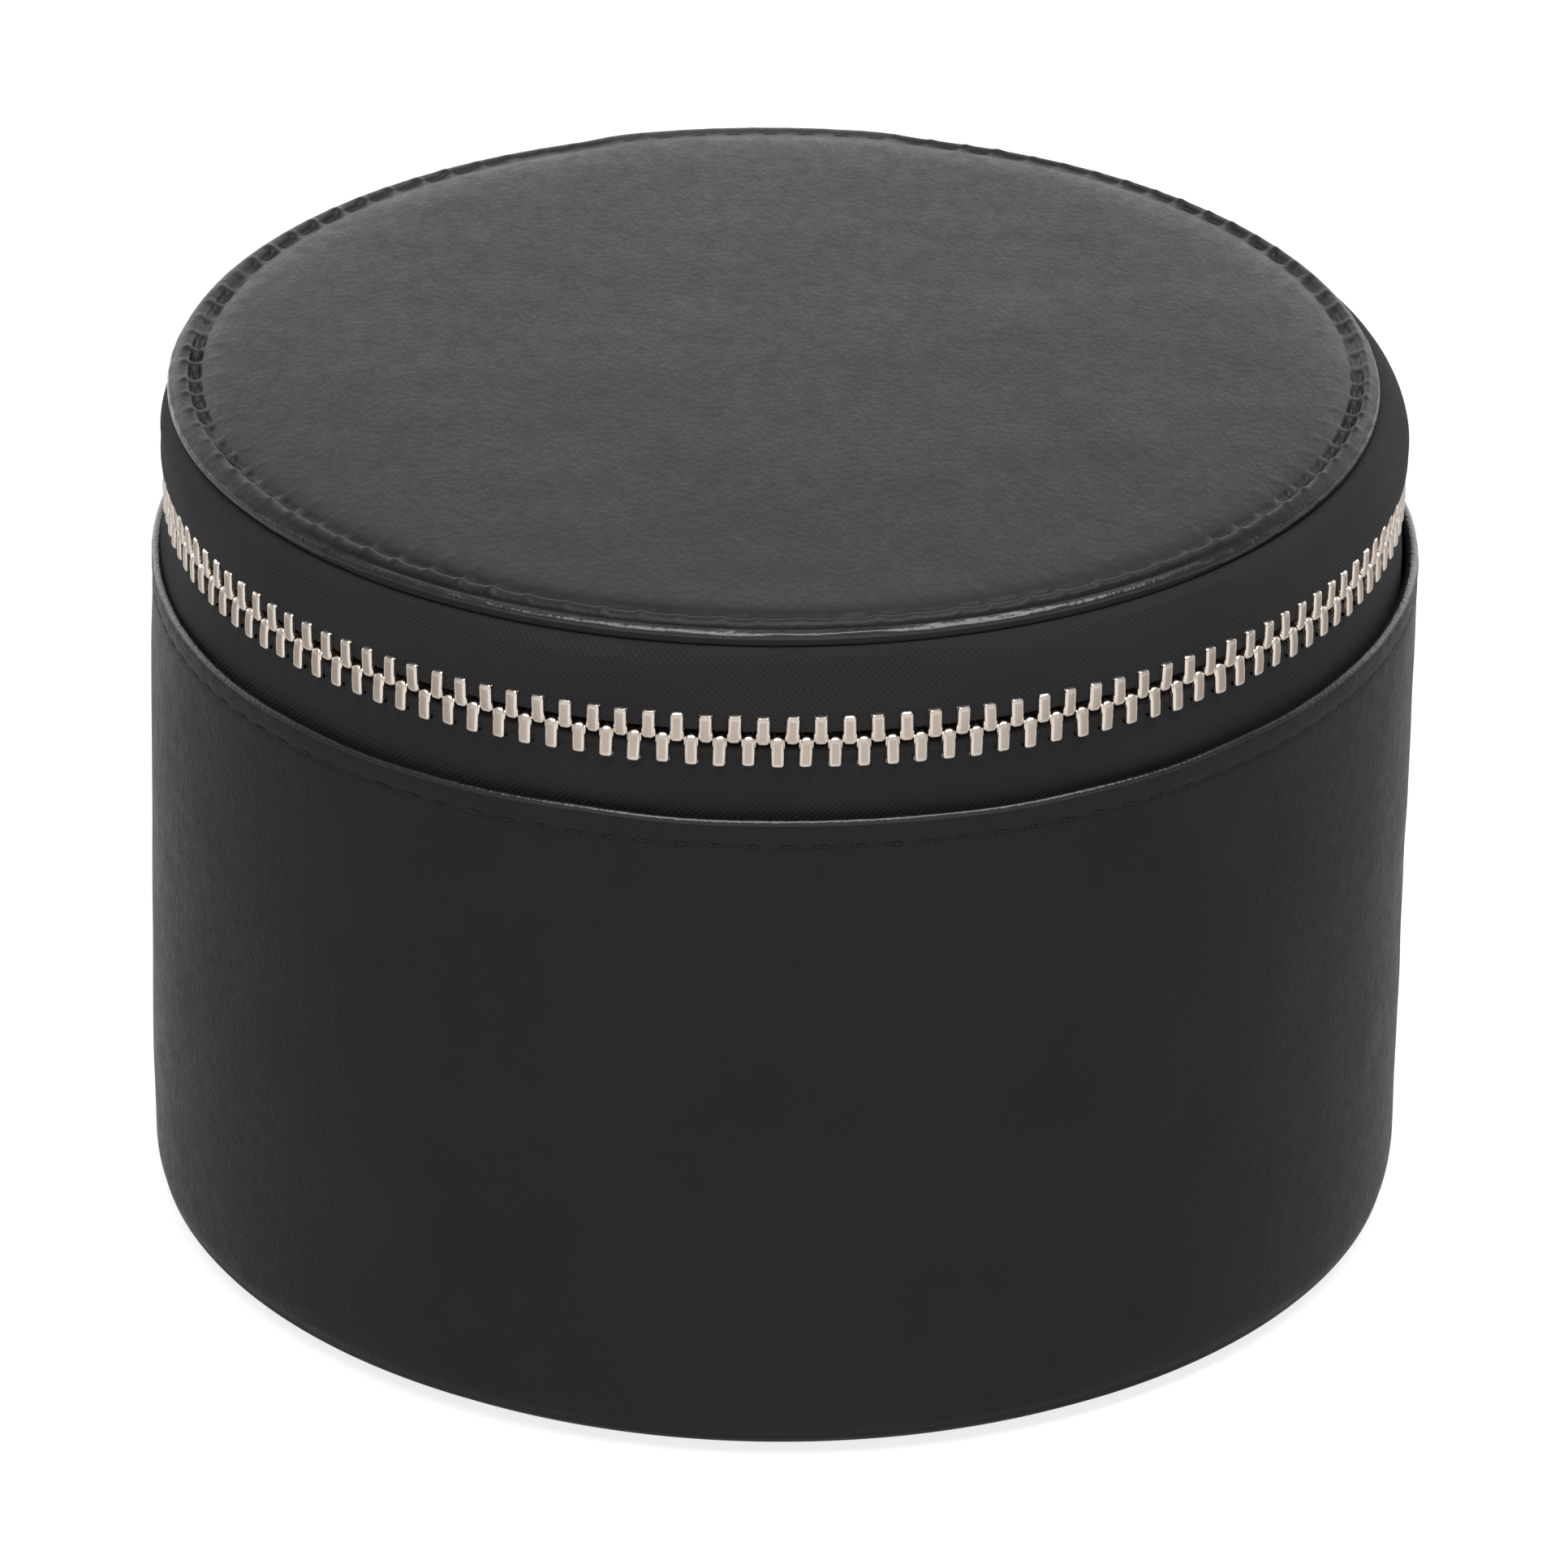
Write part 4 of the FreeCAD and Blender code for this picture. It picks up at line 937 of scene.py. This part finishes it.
def rounded_outline(pts, radius, seg=6):
    """Corner-rounded polygon (2D)."""
    P = [np.array(p, float) for p in pts]
    out = []
    n = len(P)
    for i in range(n):
        p0, p1, p2 = P[i - 1], P[i], P[(i + 1) % n]
        rad = radius[i] if hasattr(radius, "__len__") else radius
        d0, d1 = p0 - p1, p2 - p1
        l0, l1 = np.linalg.norm(d0), np.linalg.norm(d1)
        d0, d1 = d0 / l0, d1 / l1
        ang = math.acos(max(-1, min(1, d0 @ d1)))
        cut = min(rad / math.tan(ang / 2), 0.48 * l0, 0.48 * l1)
        a, b = p1 + d0 * cut, p1 + d1 * cut
        for s in range(seg + 1):
            t = s / seg
            out.append((1 - t) ** 2 * a + 2 * t * (1 - t) * p1 + t**2 * b)
    return np.array(out)


def offset_outline(q, d):
    """Outline moved inwards by d (positive area assumed either way)."""
    nxt, prv = np.roll(q, -1, 0), np.roll(q, 1, 0)
    t = nxt - prv
    nrm = np.stack([-t[:, 1], t[:, 0]], 1)
    nrm /= np.maximum(np.linalg.norm(nrm, axis=1), 1e-9)[:, None]
    area = 0.5 * np.sum(q[:, 0] * np.roll(q[:, 1], -1) - np.roll(q[:, 0], -1) * q[:, 1])
    return q + nrm * (d if area > 0 else -d)


def stacked(outline, levels):
    """A closed block: the outline at each (height, inset), capped at both ends."""
    m = len(outline)
    verts, faces = [], []
    for h, d in levels:
        q = offset_outline(outline, min(d, 0.4))
        mid = q.mean(0)
        for p in mid + (q - mid) * (1 - max(d - 0.4, 0.0) / 4.0):
            verts.append((p[0], p[1], h))
    for a in range(len(levels) - 1):
        for i in range(m):
            i2 = (i + 1) % m
            faces.append((a * m + i, a * m + i2, (a + 1) * m + i2, (a + 1) * m + i))
    faces.append(tuple(range(m)))
    faces.append(tuple((len(levels) - 1) * m + i for i in range(m)))
    return verts, faces


def join(parts):
    verts, faces = [], []
    for v, f in parts:
        base = len(verts)
        verts += [tuple(p) for p in v]
        faces += [tuple(base + i for i in q) for q in f]
    return verts, faces


def on_rim(v, angle_deg):
    """Blocks drawn as (along, up, radius) bent round the case at the given angle."""
    P = np.array(v, float)
    a = math.radians(angle_deg) + P[:, 0] / 58.2
    return polar(P[:, 2], a, CHAIN_Z + P[:, 1])


bottom = rounded_outline([(-0.75, -2.3), (0.75, -2.3), (0.75, 2.3), (-0.75, 2.3)], 0.25, 4)
stop_out = stacked(bottom, [(58.62, 0.0), (59.1, 0.0), (59.2, 0.12)])
stop_in = stacked(bottom, [(57.2, 0.12), (57.3, 0.0), (57.78, 0.0)])
stop_mid = stacked(rounded_outline([(-0.7, -0.55), (0.7, -0.55), (0.7, 0.55), (-0.7, 0.55)], 0.15, 3), [(57.6, 0.0), (58.8, 0.0)])
v, f = join([stop_out, stop_in, stop_mid])
ob = finish_mesh("zip_bottom_stop", on_rim(v, -160.2), f, METAL, sharp=40)
ride(ob, "case", "bottom_stop", slot="zip_metal")

# ------------------------------------------------------------------ slider and pull
# plates: broad shoulders at the diamond end (towards +along), a narrower rounded tail over the chain
PLATE = rounded_outline(
    [(-5.35, -2.9), (-1.5, -3.55), (3.0, -4.3), (5.2, -4.15), (5.4, -1.3), (4.9, 0.0), (5.4, 1.3), (5.2, 4.15), (3.0, 4.3), (-1.5, 3.55), (-5.35, 2.9)],
    [1.8, 2.0, 2.0, 1.2, 0.6, 0.5, 0.6, 1.2, 2.0, 2.0, 1.8], 6,
)
outer_plate = stacked(PLATE, [(59.45, 0.18), (59.6, 0.0), (60.05, 0.0), (60.28, 0.12), (60.39, 0.36), (60.44, 0.9), (60.46, 1.6)])
inner_plate = stacked(PLATE, [(55.95, 0.36), (56.05, 0.12), (56.3, 0.0), (56.8, 0.0), (56.95, 0.18)])


def flange(sign, r0, r1):
    """The lip along one edge of a plate, turned towards the tape."""
    top = [(-5.0, 2.95), (-1.5, 3.55), (3.0, 4.3), (4.8, 4.2)]
    low = [(4.8, 3.35), (3.0, 3.40), (-1.5, 2.85), (-5.0, 2.75)]
    q = rounded_outline([(x, sign * y) for x, y in top + low], 0.3, 4)
    return stacked(q, [(r0, 0.08), (r0 + 0.1, 0.0), (r1 - 0.1, 0.0), (r1, 0.08)])


diamond = stacked(
    rounded_outline([(2.6, 0.0), (4.3, -0.62), (5.1, -0.46), (5.1, 0.46), (4.3, 0.62)], 0.25, 4), [(56.7, 0.0), (59.7, 0.0)]
)
parts = [outer_plate, inner_plate, diamond]
for sgn in (-1, 1):
    parts += [flange(sgn, 59.02, 59.65), flange(sgn, 56.75, 57.54)]
v, f = join(parts)
slider_shell = finish_mesh("slider_shell", on_rim(v, SLIDER_DEG), f, METAL, sharp=42)
ride(slider_shell, "slider", "slider_body", slot="zip_metal")

e_r = np.array([math.sin(math.radians(SLIDER_DEG)), -math.cos(math.radians(SLIDER_DEG)), 0.0])
e_t = np.array([math.cos(math.radians(SLIDER_DEG)), math.sin(math.radians(SLIDER_DEG)), 0.0])
e_z = np.array([0.0, 0.0, 1.0])


def at_slider(t, rad, zz):
    return e_t * t + e_r * rad + e_z * zz


arch = [(-2.9, 60.2), (-2.9, 61.3), (-2.86, 61.75), (-2.62, 62.04), (-2.25, 62.15), (0, 62.15), (2.25, 62.15), (2.62, 62.04), (2.86, 61.75), (2.9, 61.3), (2.9, 60.2)]
arch = spline_basis(arch, 5) @ np.array(arch)
v, f = tube_mesh([[at_slider(t, rad, CHAIN_Z) for t, rad in arch]], 0.54, 16)
ride(finish_mesh("slider_loop", v, f, METAL, sharp=50), "slider", "slider_bail", slot="zip_metal")

za, zb, lb = CHAIN_Z + 0.08, CHAIN_Z - 4.5, 1.14
loop = []
for s in np.linspace(0, math.pi, 25):
    loop.append(at_slider(0, BAIL_R - lb * math.cos(s), za + lb * math.sin(s)))
for zz in np.linspace(za, zb, 12)[1:-1]:
    loop.append(at_slider(0, BAIL_R + lb, zz))
for s in np.linspace(0, math.pi, 25):
    loop.append(at_slider(0, BAIL_R + lb * math.cos(s), zb - lb * math.sin(s)))
for zz in np.linspace(zb, za, 12)[1:-1]:
    loop.append(at_slider(0, BAIL_R - lb, zz))
v, f = closed_tube(loop, 0.39, 14)
ride(finish_mesh("pull_ring", v, f, METAL), "link", "pull_link", slot="zip_metal")

# pull tab: plate with a raised border and an eye at the top
tab_out = rounded_outline([(-2.3, -4.0), (-3.2, -26.0), (3.2, -26.0), (2.3, -4.0)], [1.7, 2.2, 2.2, 1.7], 10)
n_out = len(tab_out)
hole_c, hole_r = np.array([0.0, -6.1]), 1.1
# the hole's ring has as many points as the outline, matched by direction from its centre
ang = np.arctan2(tab_out[:, 1] - hole_c[1], tab_out[:, 0] - hole_c[0])
hole_ring = hole_c + hole_r * np.stack([np.cos(ang), np.sin(ang)], 1)
verts, faces = [], []


def tab_ring(shape, depth):
    base = len(verts)
    for p in shape:
        verts.append(at_slider(p[0], BAIL_R + depth, CHAIN_Z + p[1]))
    return base


def hole_off(d):
    return hole_c + (hole_r + d) * np.stack([np.cos(ang), np.sin(ang)], 1)


rings = []
for sgn in (1, -1):
    rings.append([
        tab_ring(hole_off(0.0), sgn * 0.40), tab_ring(hole_off(0.14), sgn * 0.54),
        tab_ring(np.where(True, hole_off(0.14) * 0.4 + offset_outline(tab_out, 0.9) * 0.6, 0), sgn * 0.545),
        tab_ring(offset_outline(tab_out, 0.95), sgn * 0.545) if False else tab_ring(offset_outline(tab_out, 0.75), sgn * 0.55),
        tab_ring(offset_outline(tab_out, 0.22), sgn * 0.53), tab_ring(offset_outline(tab_out, 0.06), sgn * 0.44),
        tab_ring(tab_out, sgn * 0.28),
    ])


def bridge(b0, b1):
    for i in range(n_out):
        i2 = (i + 1) % n_out
        faces.append((b0 + i, b0 + i2, b1 + i2, b1 + i))


for side in rings:
    for b0, b1 in zip(side, side[1:]):
        bridge(b0, b1)
bridge(rings[0][-1], rings[1][-1])
bridge(rings[0][0], rings[1][0])
ride(finish_mesh("pull_plate", verts, faces, METAL, sharp=50), "tab", "pull_tab", slot="zip_metal")

# ------------------------------------------------------------------ leather hinge, built in its closed shape (on the real case it bends as the lid opens)
HINGE = up([  # outer face from inside the wall up to under the lid's edge, and the inner face back down
    (58.5, 58.0), (58.62, 61.0), (58.72, 63.3), (59.0, 64.6), (59.45, 66.2), (59.85, 68.4), (60.05, 70.7), (60.0, 73.0),
    (59.7, 75.2), (59.2, 76.9), (58.6, 77.9), (57.8, 78.45), (56.6, 78.6), (55.0, 78.62),
    (55.0, 78.1), (56.5, 77.95), (57.5, 77.55), (58.1, 76.6), (58.6, 75.0), (58.9, 73.0), (58.95, 70.7), (58.8, 68.4),
    (58.55, 66.4), (58.25, 64.8), (57.95, 63.3), (57.9, 61.0), (57.9, 58.0),
])
half = 17.6


def strap(name, ctrl, spread, mat, edge, counts=3):
    n = 120
    s = np.linspace(-1, 1, n)
    a = math.pi + np.radians(spread) * s
    Bh = spline_basis(ctrl, counts)
    p = Bh @ np.array(ctrl)
    mid = p.copy()
    k = len(ctrl) // 2
    rr, zz = np.tile(p[:, 0], (n, 1)), np.tile(p[:, 1], (n, 1))
    # the side edges are pared thin and lie closer to the tape
    thin = smooth(np.abs(s), 1 - edge, 1.0)[:, None]
    rr = rr - thin * 0.55 * np.clip((rr - 58.3) / 1.6, 0, 1)
    w = wobble(97, 8, 6, 40, 9)
    rr = rr + 0.03 * w(a[:, None] + 0 * rr, zz) * smooth(zz, 66.6, 68.6)
    return swept(name, rr, zz, a, mat, wrap=False, loop=True, u_rad=59.0, sharp=75)


hinge_strap = strap("hinge_strap", HINGE, 18.15, LEATHER_UV, 0.10)
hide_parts("hinge_leather")
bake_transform(hinge_strap)
BACKING = up([
    (57.35, 60.0), (57.35, 63.0), (57.6, 65.0), (58.0, 67.0), (58.3, 69.0), (58.4, 70.7), (58.32, 72.8), (58.0, 74.8),
    (57.4, 76.6), (56.6, 77.4), (55.6, 77.7),
    (55.6, 77.35), (56.4, 77.0), (57.0, 76.3), (57.55, 74.6), (57.85, 72.7), (57.95, 70.7), (57.85, 69.0), (57.55, 67.2),
    (57.15, 65.2), (56.95, 63.2), (56.95, 60.0),
])
hinge_backing = strap("hinge_backing", BACKING, 17.2, LINING, 0.05)
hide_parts("hinge_facing")
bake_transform(hinge_backing)

# ------------------------------------------------------------------ inside of the case
WALL = up([
    (55.7, 4.5), (54.85, 4.5), (54.82, 8.0), (54.8, 16.0), (54.8, 28.0), (54.8, 40.0), (54.8, 52.0), (54.8, 60.0), (54.8, 63.0),
    (54.82, 64.8), (54.98, 65.55), (55.4, 65.88), (55.95, 65.8), (56.5, 65.45), (57.1, 64.9), (57.55, 64.2), (57.7, 63.4),
    (57.55, 62.8), (56.9, 62.72), (56.2, 62.9), (55.8, 63.2), (55.72, 62.0), (55.72, 50.0), (55.72, 20.0),
])
prof = spline_basis(WALL, 3) @ np.array(WALL)
n = 480
A = np.linspace(0, TAU, n, endpoint=False)
r, z = np.tile(prof[:, 0], (n, 1)), np.tile(prof[:, 1], (n, 1))
aa = A[:, None] + 0 * r
r = r + 0.05 * wobble(101, 10, 3, 18, 30)(aa, z) * (r < 55.3)
r = r - 0.95 * lean(aa) * smooth(z, 20.0, 66.0)
z = z + 0.08 * wobble(103, 8, 3, 22, 60)(aa, z) * smooth(z, 67.1, 68.4)
lining_wall = swept("lining_wall", r, z, A, LINING, u_rad=55.0)
ride(lining_wall, "case", "wall_lining", slot="lining")


def at_collar(a):
    e = np.array([math.sin(a), -math.cos(a), 0.0])
    return e * 54.84 + np.array([0, 0, 63.6 + RAISE]), np.array([0, 0, 1.0]), -e


ride(stitch_row("collar_stitching", 108, at_collar, THREAD_IN, radius=0.17, rise=0.06), "case")

PAD = [(0, 4.45), (25, 4.45), (45, 4.45), (53.6, 4.45), (54.5, 4.7), (54.65, 5.6), (54.5, 6.5), (53.8, 7.1), (52.2, 7.45), (46, 7.7), (30, 7.85), (0, 7.88)]
prof = spline_basis(PAD, 4) @ np.array(PAD)
n = 240
A = np.linspace(0, TAU, n, endpoint=False)
r, z = np.tile(np.maximum(prof[:, 0], 0), (n, 1)), np.tile(prof[:, 1], (n, 1))
aa = A[:, None] + 0 * r
z = z - 0.06 * np.abs(wobble(107, 9, 2, 9, 1e6)(aa, 0)) * (z > 6.5) * np.clip(r / 30, 0, 1) * np.clip((54 - r) / 5, 0, 1)
floor_cushion = swept("floor_cushion", r, z, A, LINING, loop=False, weld=True, u_rad=50.0)
ride(floor_cushion, "case", "floor_pad", slot="lining")


def lined_panel(name, node, soft=0.75, wave=0.05, seed=1, segs=4):
    """A lined board panel: rounded edges, slightly uneven faces."""
    lo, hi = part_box(node)
    lo, hi = np.array(lo) / MM, np.array(hi) / MM
    size, mid = hi - lo, (hi + lo) / 2
    bm = bmesh.new()
    bmesh.ops.create_cube(bm, size=1.0)
    for v_ in bm.verts:
        v_.co = Vector([v_.co[i] * size[i] for i in range(3)])
    long_axes = [i for i in range(3) if size[i] > 10]
    for i in long_axes:
        for cutn in range(1, max(2, int(size[i] / 4))):
            co = Vector((0, 0, 0))
            co[i] = -size[i] / 2 + size[i] * cutn / max(2, int(size[i] / 4))
            no = Vector((0, 0, 0))
            no[i] = 1
            bmesh.ops.bisect_plane(bm, geom=list(bm.verts) + list(bm.edges) + list(bm.faces), plane_co=co, plane_no=no)
    sharp_e = [e for e in bm.edges if len(e.link_faces) == 2 and e.calc_face_angle(0) > 1.0]
    bmesh.ops.bevel(bm, geom=sharp_e, offset=soft, segments=segs, profile=0.6, affect="EDGES", clamp_overlap=True)
    rng = np.random.default_rng(seed)
    waves = [(rng.normal(0, TAU / 28, 3), rng.uniform(0, TAU)) for _ in range(8)]
    thin = int(np.argmin(size))
    for v_ in bm.verts:
        p = np.array(v_.co)
        d_ = sum(math.sin(k_ @ p + q_) for k_, q_ in waves) / 2.0
        p[thin] *= 1 - 0.04 * (0.5 + 0.5 * math.tanh(d_)) * (wave / 0.05)
        v_.co = Vector(p + mid) * MM
    bmesh.ops.recalc_face_normals(bm, faces=bm.faces)
    me = bpy.data.meshes.new(name)
    bm.to_mesh(me)
    bm.free()
    me.materials.append(LINING)
    me.polygons.foreach_set("use_smooth", [True] * len(me.polygons))
    ob = bpy.data.objects.new(name, me)
    scene.collection.objects.link(ob)
    ride(ob, "case", node, slot="lining")
    return ob


lined_panel("divider_left", "left_divider", 1.0, seed=111)
lined_panel("divider_right", "right_divider", 1.0, seed=113)
lined_panel("divider_cross", "cross_divider", 1.0, seed=117)
lined_panel("shelf_board", "ring_shelf", 0.7, seed=119)
# stitched tops of the two long dividers
for tag, sx in (("left", -1), ("right", 1)):
    paths = []
    for face in (-1, 1):
        for i in range(29):
            y0 = -46.5 + i * 3.2
            pts = []
            for s in np.linspace(0, 1, 7):
                lift = 0.05 - 0.30 * abs(2 * s - 1) ** 5
                pts.append(np.array([sx * 24.0 + face * (1.17 + lift), y0 + 2.95 * s, 47.6]))
            paths.append(pts)
    v, f = tube_mesh(paths, 0.16, 6)
    ride(finish_mesh("divider_stitching_" + tag, v, f, THREAD_IN), "case")

# ring rolls: foam rolls wrapped in suede, flattened where they touch the shelf and each other
for k in range(4):
    lo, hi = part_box("ring_roll_%d" % (k + 1))
    lo, hi = np.array(lo) / MM, np.array(hi) / MM
    cy, cz, rad = (lo[1] + hi[1]) / 2, (lo[2] + hi[2]) / 2, 5.8
    L = (hi[0] - lo[0]) / 2
    nx, nt = 61, 72
    xs = np.concatenate([-L + 1.9 * (1 - np.cos(np.linspace(0, math.pi / 2, 9)))[:-1], np.linspace(-L + 1.9, L - 1.9, nx - 16), (L - 1.9 * (1 - np.cos(np.linspace(0, math.pi / 2, 9))))[::-1][1:]])
    th = np.linspace(0, TAU, nt, endpoint=False)
    XX, TH = np.meshgrid(xs, th, indexing="ij")
    end = np.clip((L - np.abs(XX)) / 1.9, 0, 1)
    rr = rad * (0.62 + 0.38 * np.sqrt(np.maximum(0, 1 - (1 - end) ** 2)))
    w = wobble(121 + k, 9, 2, 6, 14)
    rr = rr * (1 - 0.010 * np.abs(w(TH, XX)))
    rr = rr - 0.16 * np.exp(-((L - np.abs(XX)) / 2.6)) * (0.5 + 0.5 * np.cos(TH * 15 + 3 * np.sin(TH * 2 + k)))
    yy, zz = rr * np.cos(TH), rr * np.sin(TH)
    yy = np.clip(yy, -5.85, 5.85) * (1 - 0.02 * np.abs(np.cos(TH)))
    zz = np.where(zz < -5.3, -5.3 - 0.35 * np.tanh((-5.3 - zz) / 0.35), zz)
    P = np.stack([XX, cy + yy, cz + zz], -1).reshape(-1, 3)
    f4, J, K = grid_faces(len(xs), nt, False, True)
    faces = [tuple(int(i) for i in q) for q in f4] + [tuple(range(nt)), tuple(range((len(xs) - 1) * nt, len(xs) * nt))]
    ob = finish_mesh("ring_cushion_%d" % (k + 1), P, faces, LINING, sharp=60)
    ride(ob, "case", "ring_roll_%d" % (k + 1), slot="lining")

# ------------------------------------------------------------------ inside of the lid
PANEL = up([(0, 77.95), (30, 77.95), (50, 77.95), (54.9, 77.93), (55.3, 77.7), (55.35, 77.4), (55.1, 77.05), (54.4, 76.94), (50, 76.92), (30, 76.92), (0, 76.92)])
prof = spline_basis(PANEL, 4) @ np.array(PANEL)
n = 240
A = np.linspace(0, TAU, n, endpoint=False)
lid_panel = swept("lid_lining_panel", np.tile(np.maximum(prof[:, 0], 0), (n, 1)), np.tile(prof[:, 1], (n, 1)), A, LINING, loop=False, weld=True)
ride(lid_panel, "lid", "lid_lining", slot="lining")

FRAME = up([
    (40.3, 76.8), (46.0, 76.85), (51.6, 76.82), (52.3, 76.5), (52.45, 75.9), (52.0, 75.2), (50.8, 74.7), (48.6, 74.45), (45.6, 74.4),
    (42.4, 74.45), (40.2, 74.62), (39.0, 74.9), (38.7, 75.06), (39.2, 75.14), (40.2, 75.2), (40.32, 75.8),
])
prof = spline_basis(FRAME, 4) @ np.array(FRAME)
n = 420
A = np.linspace(0, TAU, n, endpoint=False)
r, z = np.tile(prof[:, 0], (n, 1)), np.tile(prof[:, 1], (n, 1))
aa = A[:, None] + 0 * r
under = (z < 75.3 + RAISE) * np.exp(-(((r - 40.4) / 1.1) ** 2))
z = z + 0.05 * under * np.cos(aa * 84) + 0.04 * wobble(131, 9, 3, 17, 1e6)(aa, 0) * (z < 75.2 + RAISE) * (r > 40.4)
mirror_ring = swept("mirror_surround", r, z, A, LINING, u_rad=46.0)
ride(mirror_ring, "lid", "mirror_frame", slot="lining")


def at_frame(a):
    e = np.array([math.sin(a), -math.cos(a), 0.0])
    return e * 40.5 + np.array([0, 0, 74.62 + RAISE]), e, np.array([0, 0, -1.0])


ride(stitch_row("mirror_stitching", 84, at_frame, THREAD_IN, radius=0.16, rise=0.05), "lid")

GLASS = up([(0, 76.8), (25, 76.8), (39.4, 76.8), (39.85, 76.6), (39.92, 76.0), (39.75, 75.5), (39.2, 75.32), (37.6, 75.28), (30, 75.27), (0, 75.27)])
prof = spline_basis(GLASS, 3) @ np.array(GLASS)
n = 256
A = np.linspace(0, TAU, n, endpoint=False)
looking_glass = swept("looking_glass", np.tile(np.maximum(prof[:, 0], 0), (n, 1)), np.tile(prof[:, 1], (n, 1)), A, SILVER, loop=False, weld=True, sharp=35)
ride(looking_glass, "lid", "mirror", slot="mirror_glass")


# ------------------------------------------------------------------ hidden frame parts keep their shape and get a finish
def dress(node, mat):
    ob = NODES[node]
    ob.data.materials.clear()
    ob.data.materials.append(mat)


for node in ("body_board", "base_board", "lid_board"):
    dress(node, BOARD)
dress("lid_foam", FOAM)

# ------------------------------------------------------------------ floor, light
floor_mat = Mat("pale_floor")
n_ = floor_mat.noise(floor_mat.coords(), 6.0, 2.0)
floor_mat.set(Base_Color=floor_mat.ramp(n_, [(0.3, (0.30, 0.30, 0.30)), (0.7, (0.32, 0.32, 0.32))]))
floor_mat.bsdf.inputs["Emission Color"].default_value = (1.0, 1.0, 1.0, 1.0)
floor_mat.bsdf.inputs["Emission Strength"].default_value = 0.80
floor_mat.bsdf.inputs["Roughness"].default_value = 0.9
floor_mat.bsdf.inputs["Specular IOR Level"].default_value = 0.1
me = bpy.data.meshes.new("floor")
s_ = 6.0
me.from_pydata([(-s_, -s_, 0), (s_, -s_, 0), (s_, s_, 0), (-s_, s_, 0)], [], [(0, 1, 2, 3)])
me.materials.append(floor_mat.mat)
floor = bpy.data.objects.new("floor", me)
scene.collection.objects.link(floor)
floor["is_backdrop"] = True

floor.visible_glossy = False
world = bpy.data.worlds.new("studio")
scene.world = world
world.use_nodes = True
wt = world.node_tree
wt.nodes.clear()
w_out = wt.nodes.new("ShaderNodeOutputWorld")
bg = wt.nodes.new("ShaderNodeBackground")
wt.links.new(bg.outputs[0], w_out.inputs[0])
w_dir = wt.nodes.new("ShaderNodeTexCoord").outputs["Generated"]
w_sep = wt.nodes.new("ShaderNodeSeparateXYZ")
wt.links.new(w_dir, w_sep.inputs[0])


def w_math(op, a, b):
    n = wt.nodes.new("ShaderNodeMath")
    n.operation = op
    for i, v in enumerate((a, b)):
        if isinstance(v, bpy.types.NodeSocket):
            wt.links.new(v, n.inputs[i])
        else:
            n.inputs[i].default_value = v
    return n.outputs[0]


def w_step(v, a, b, lo, hi):
    n = wt.nodes.new("ShaderNodeMapRange")
    n.interpolation_type = "SMOOTHSTEP"
    wt.links.new(v, n.inputs["Value"])
    for key, val in zip(("From Min", "From Max", "To Min", "To Max"), (a, b, lo, hi)):
        n.inputs[key].default_value = val
    return n.outputs[0]


# a bright sweep behind the case, dimmer sides, a pale table in front
dy, dz = w_sep.outputs[1], w_sep.outputs[2]
sweep = w_math("MULTIPLY", w_step(dy, 0.10, 0.75, 0.0, 1.01), w_step(dz, 0.05, 0.85, 1.30, 0.45))
side = w_step(w_math("ABSOLUTE", w_sep.outputs[0], 0.0), 0.04, 0.36, 1.0, 1.30)
sweep = w_math("MULTIPLY", sweep, side)
sky = w_math("ADD", w_math("ADD", w_step(dy, -0.80, -0.20, 0.60, 0.35), sweep), w_step(dz, 0.86, 0.99, 0.0, 0.40))
low = w_math("ADD", w_math("ADD", 0.54, w_step(dy, -0.80, -0.25, 0.34, 0.0)), w_step(dy, 0.66, 0.95, 0.0, 0.75))
level = w_math("ADD", low, w_math("MULTIPLY", w_math("SUBTRACT", sky, low), w_step(dz, -0.06, 0.06, 0.0, 1.0)))
bg.inputs[0].default_value = (1.0, 1.0, 1.0, 1.0)
wt.links.new(level, bg.inputs[1])


def softbox(name, loc, target, size, power):
    d_ = bpy.data.lights.new(name, "AREA")
    d_.shape = "RECTANGLE"
    d_.size, d_.size_y = size
    d_.energy = power
    ob = bpy.data.objects.new(name, d_)
    scene.collection.objects.link(ob)
    ob.location = loc
    ob.rotation_mode = "QUATERNION"
    ob.rotation_quaternion = (Vector(target) - Vector(loc)).to_track_quat("-Z", "Y")
    ob.visible_camera = False
    return ob


softbox("overhead", (0.1, -0.34, 1.57), (0, -0.1, 0.05), (2.0, 0.9), 26)
scene.view_settings.view_transform = "Standard"

lo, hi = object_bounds()
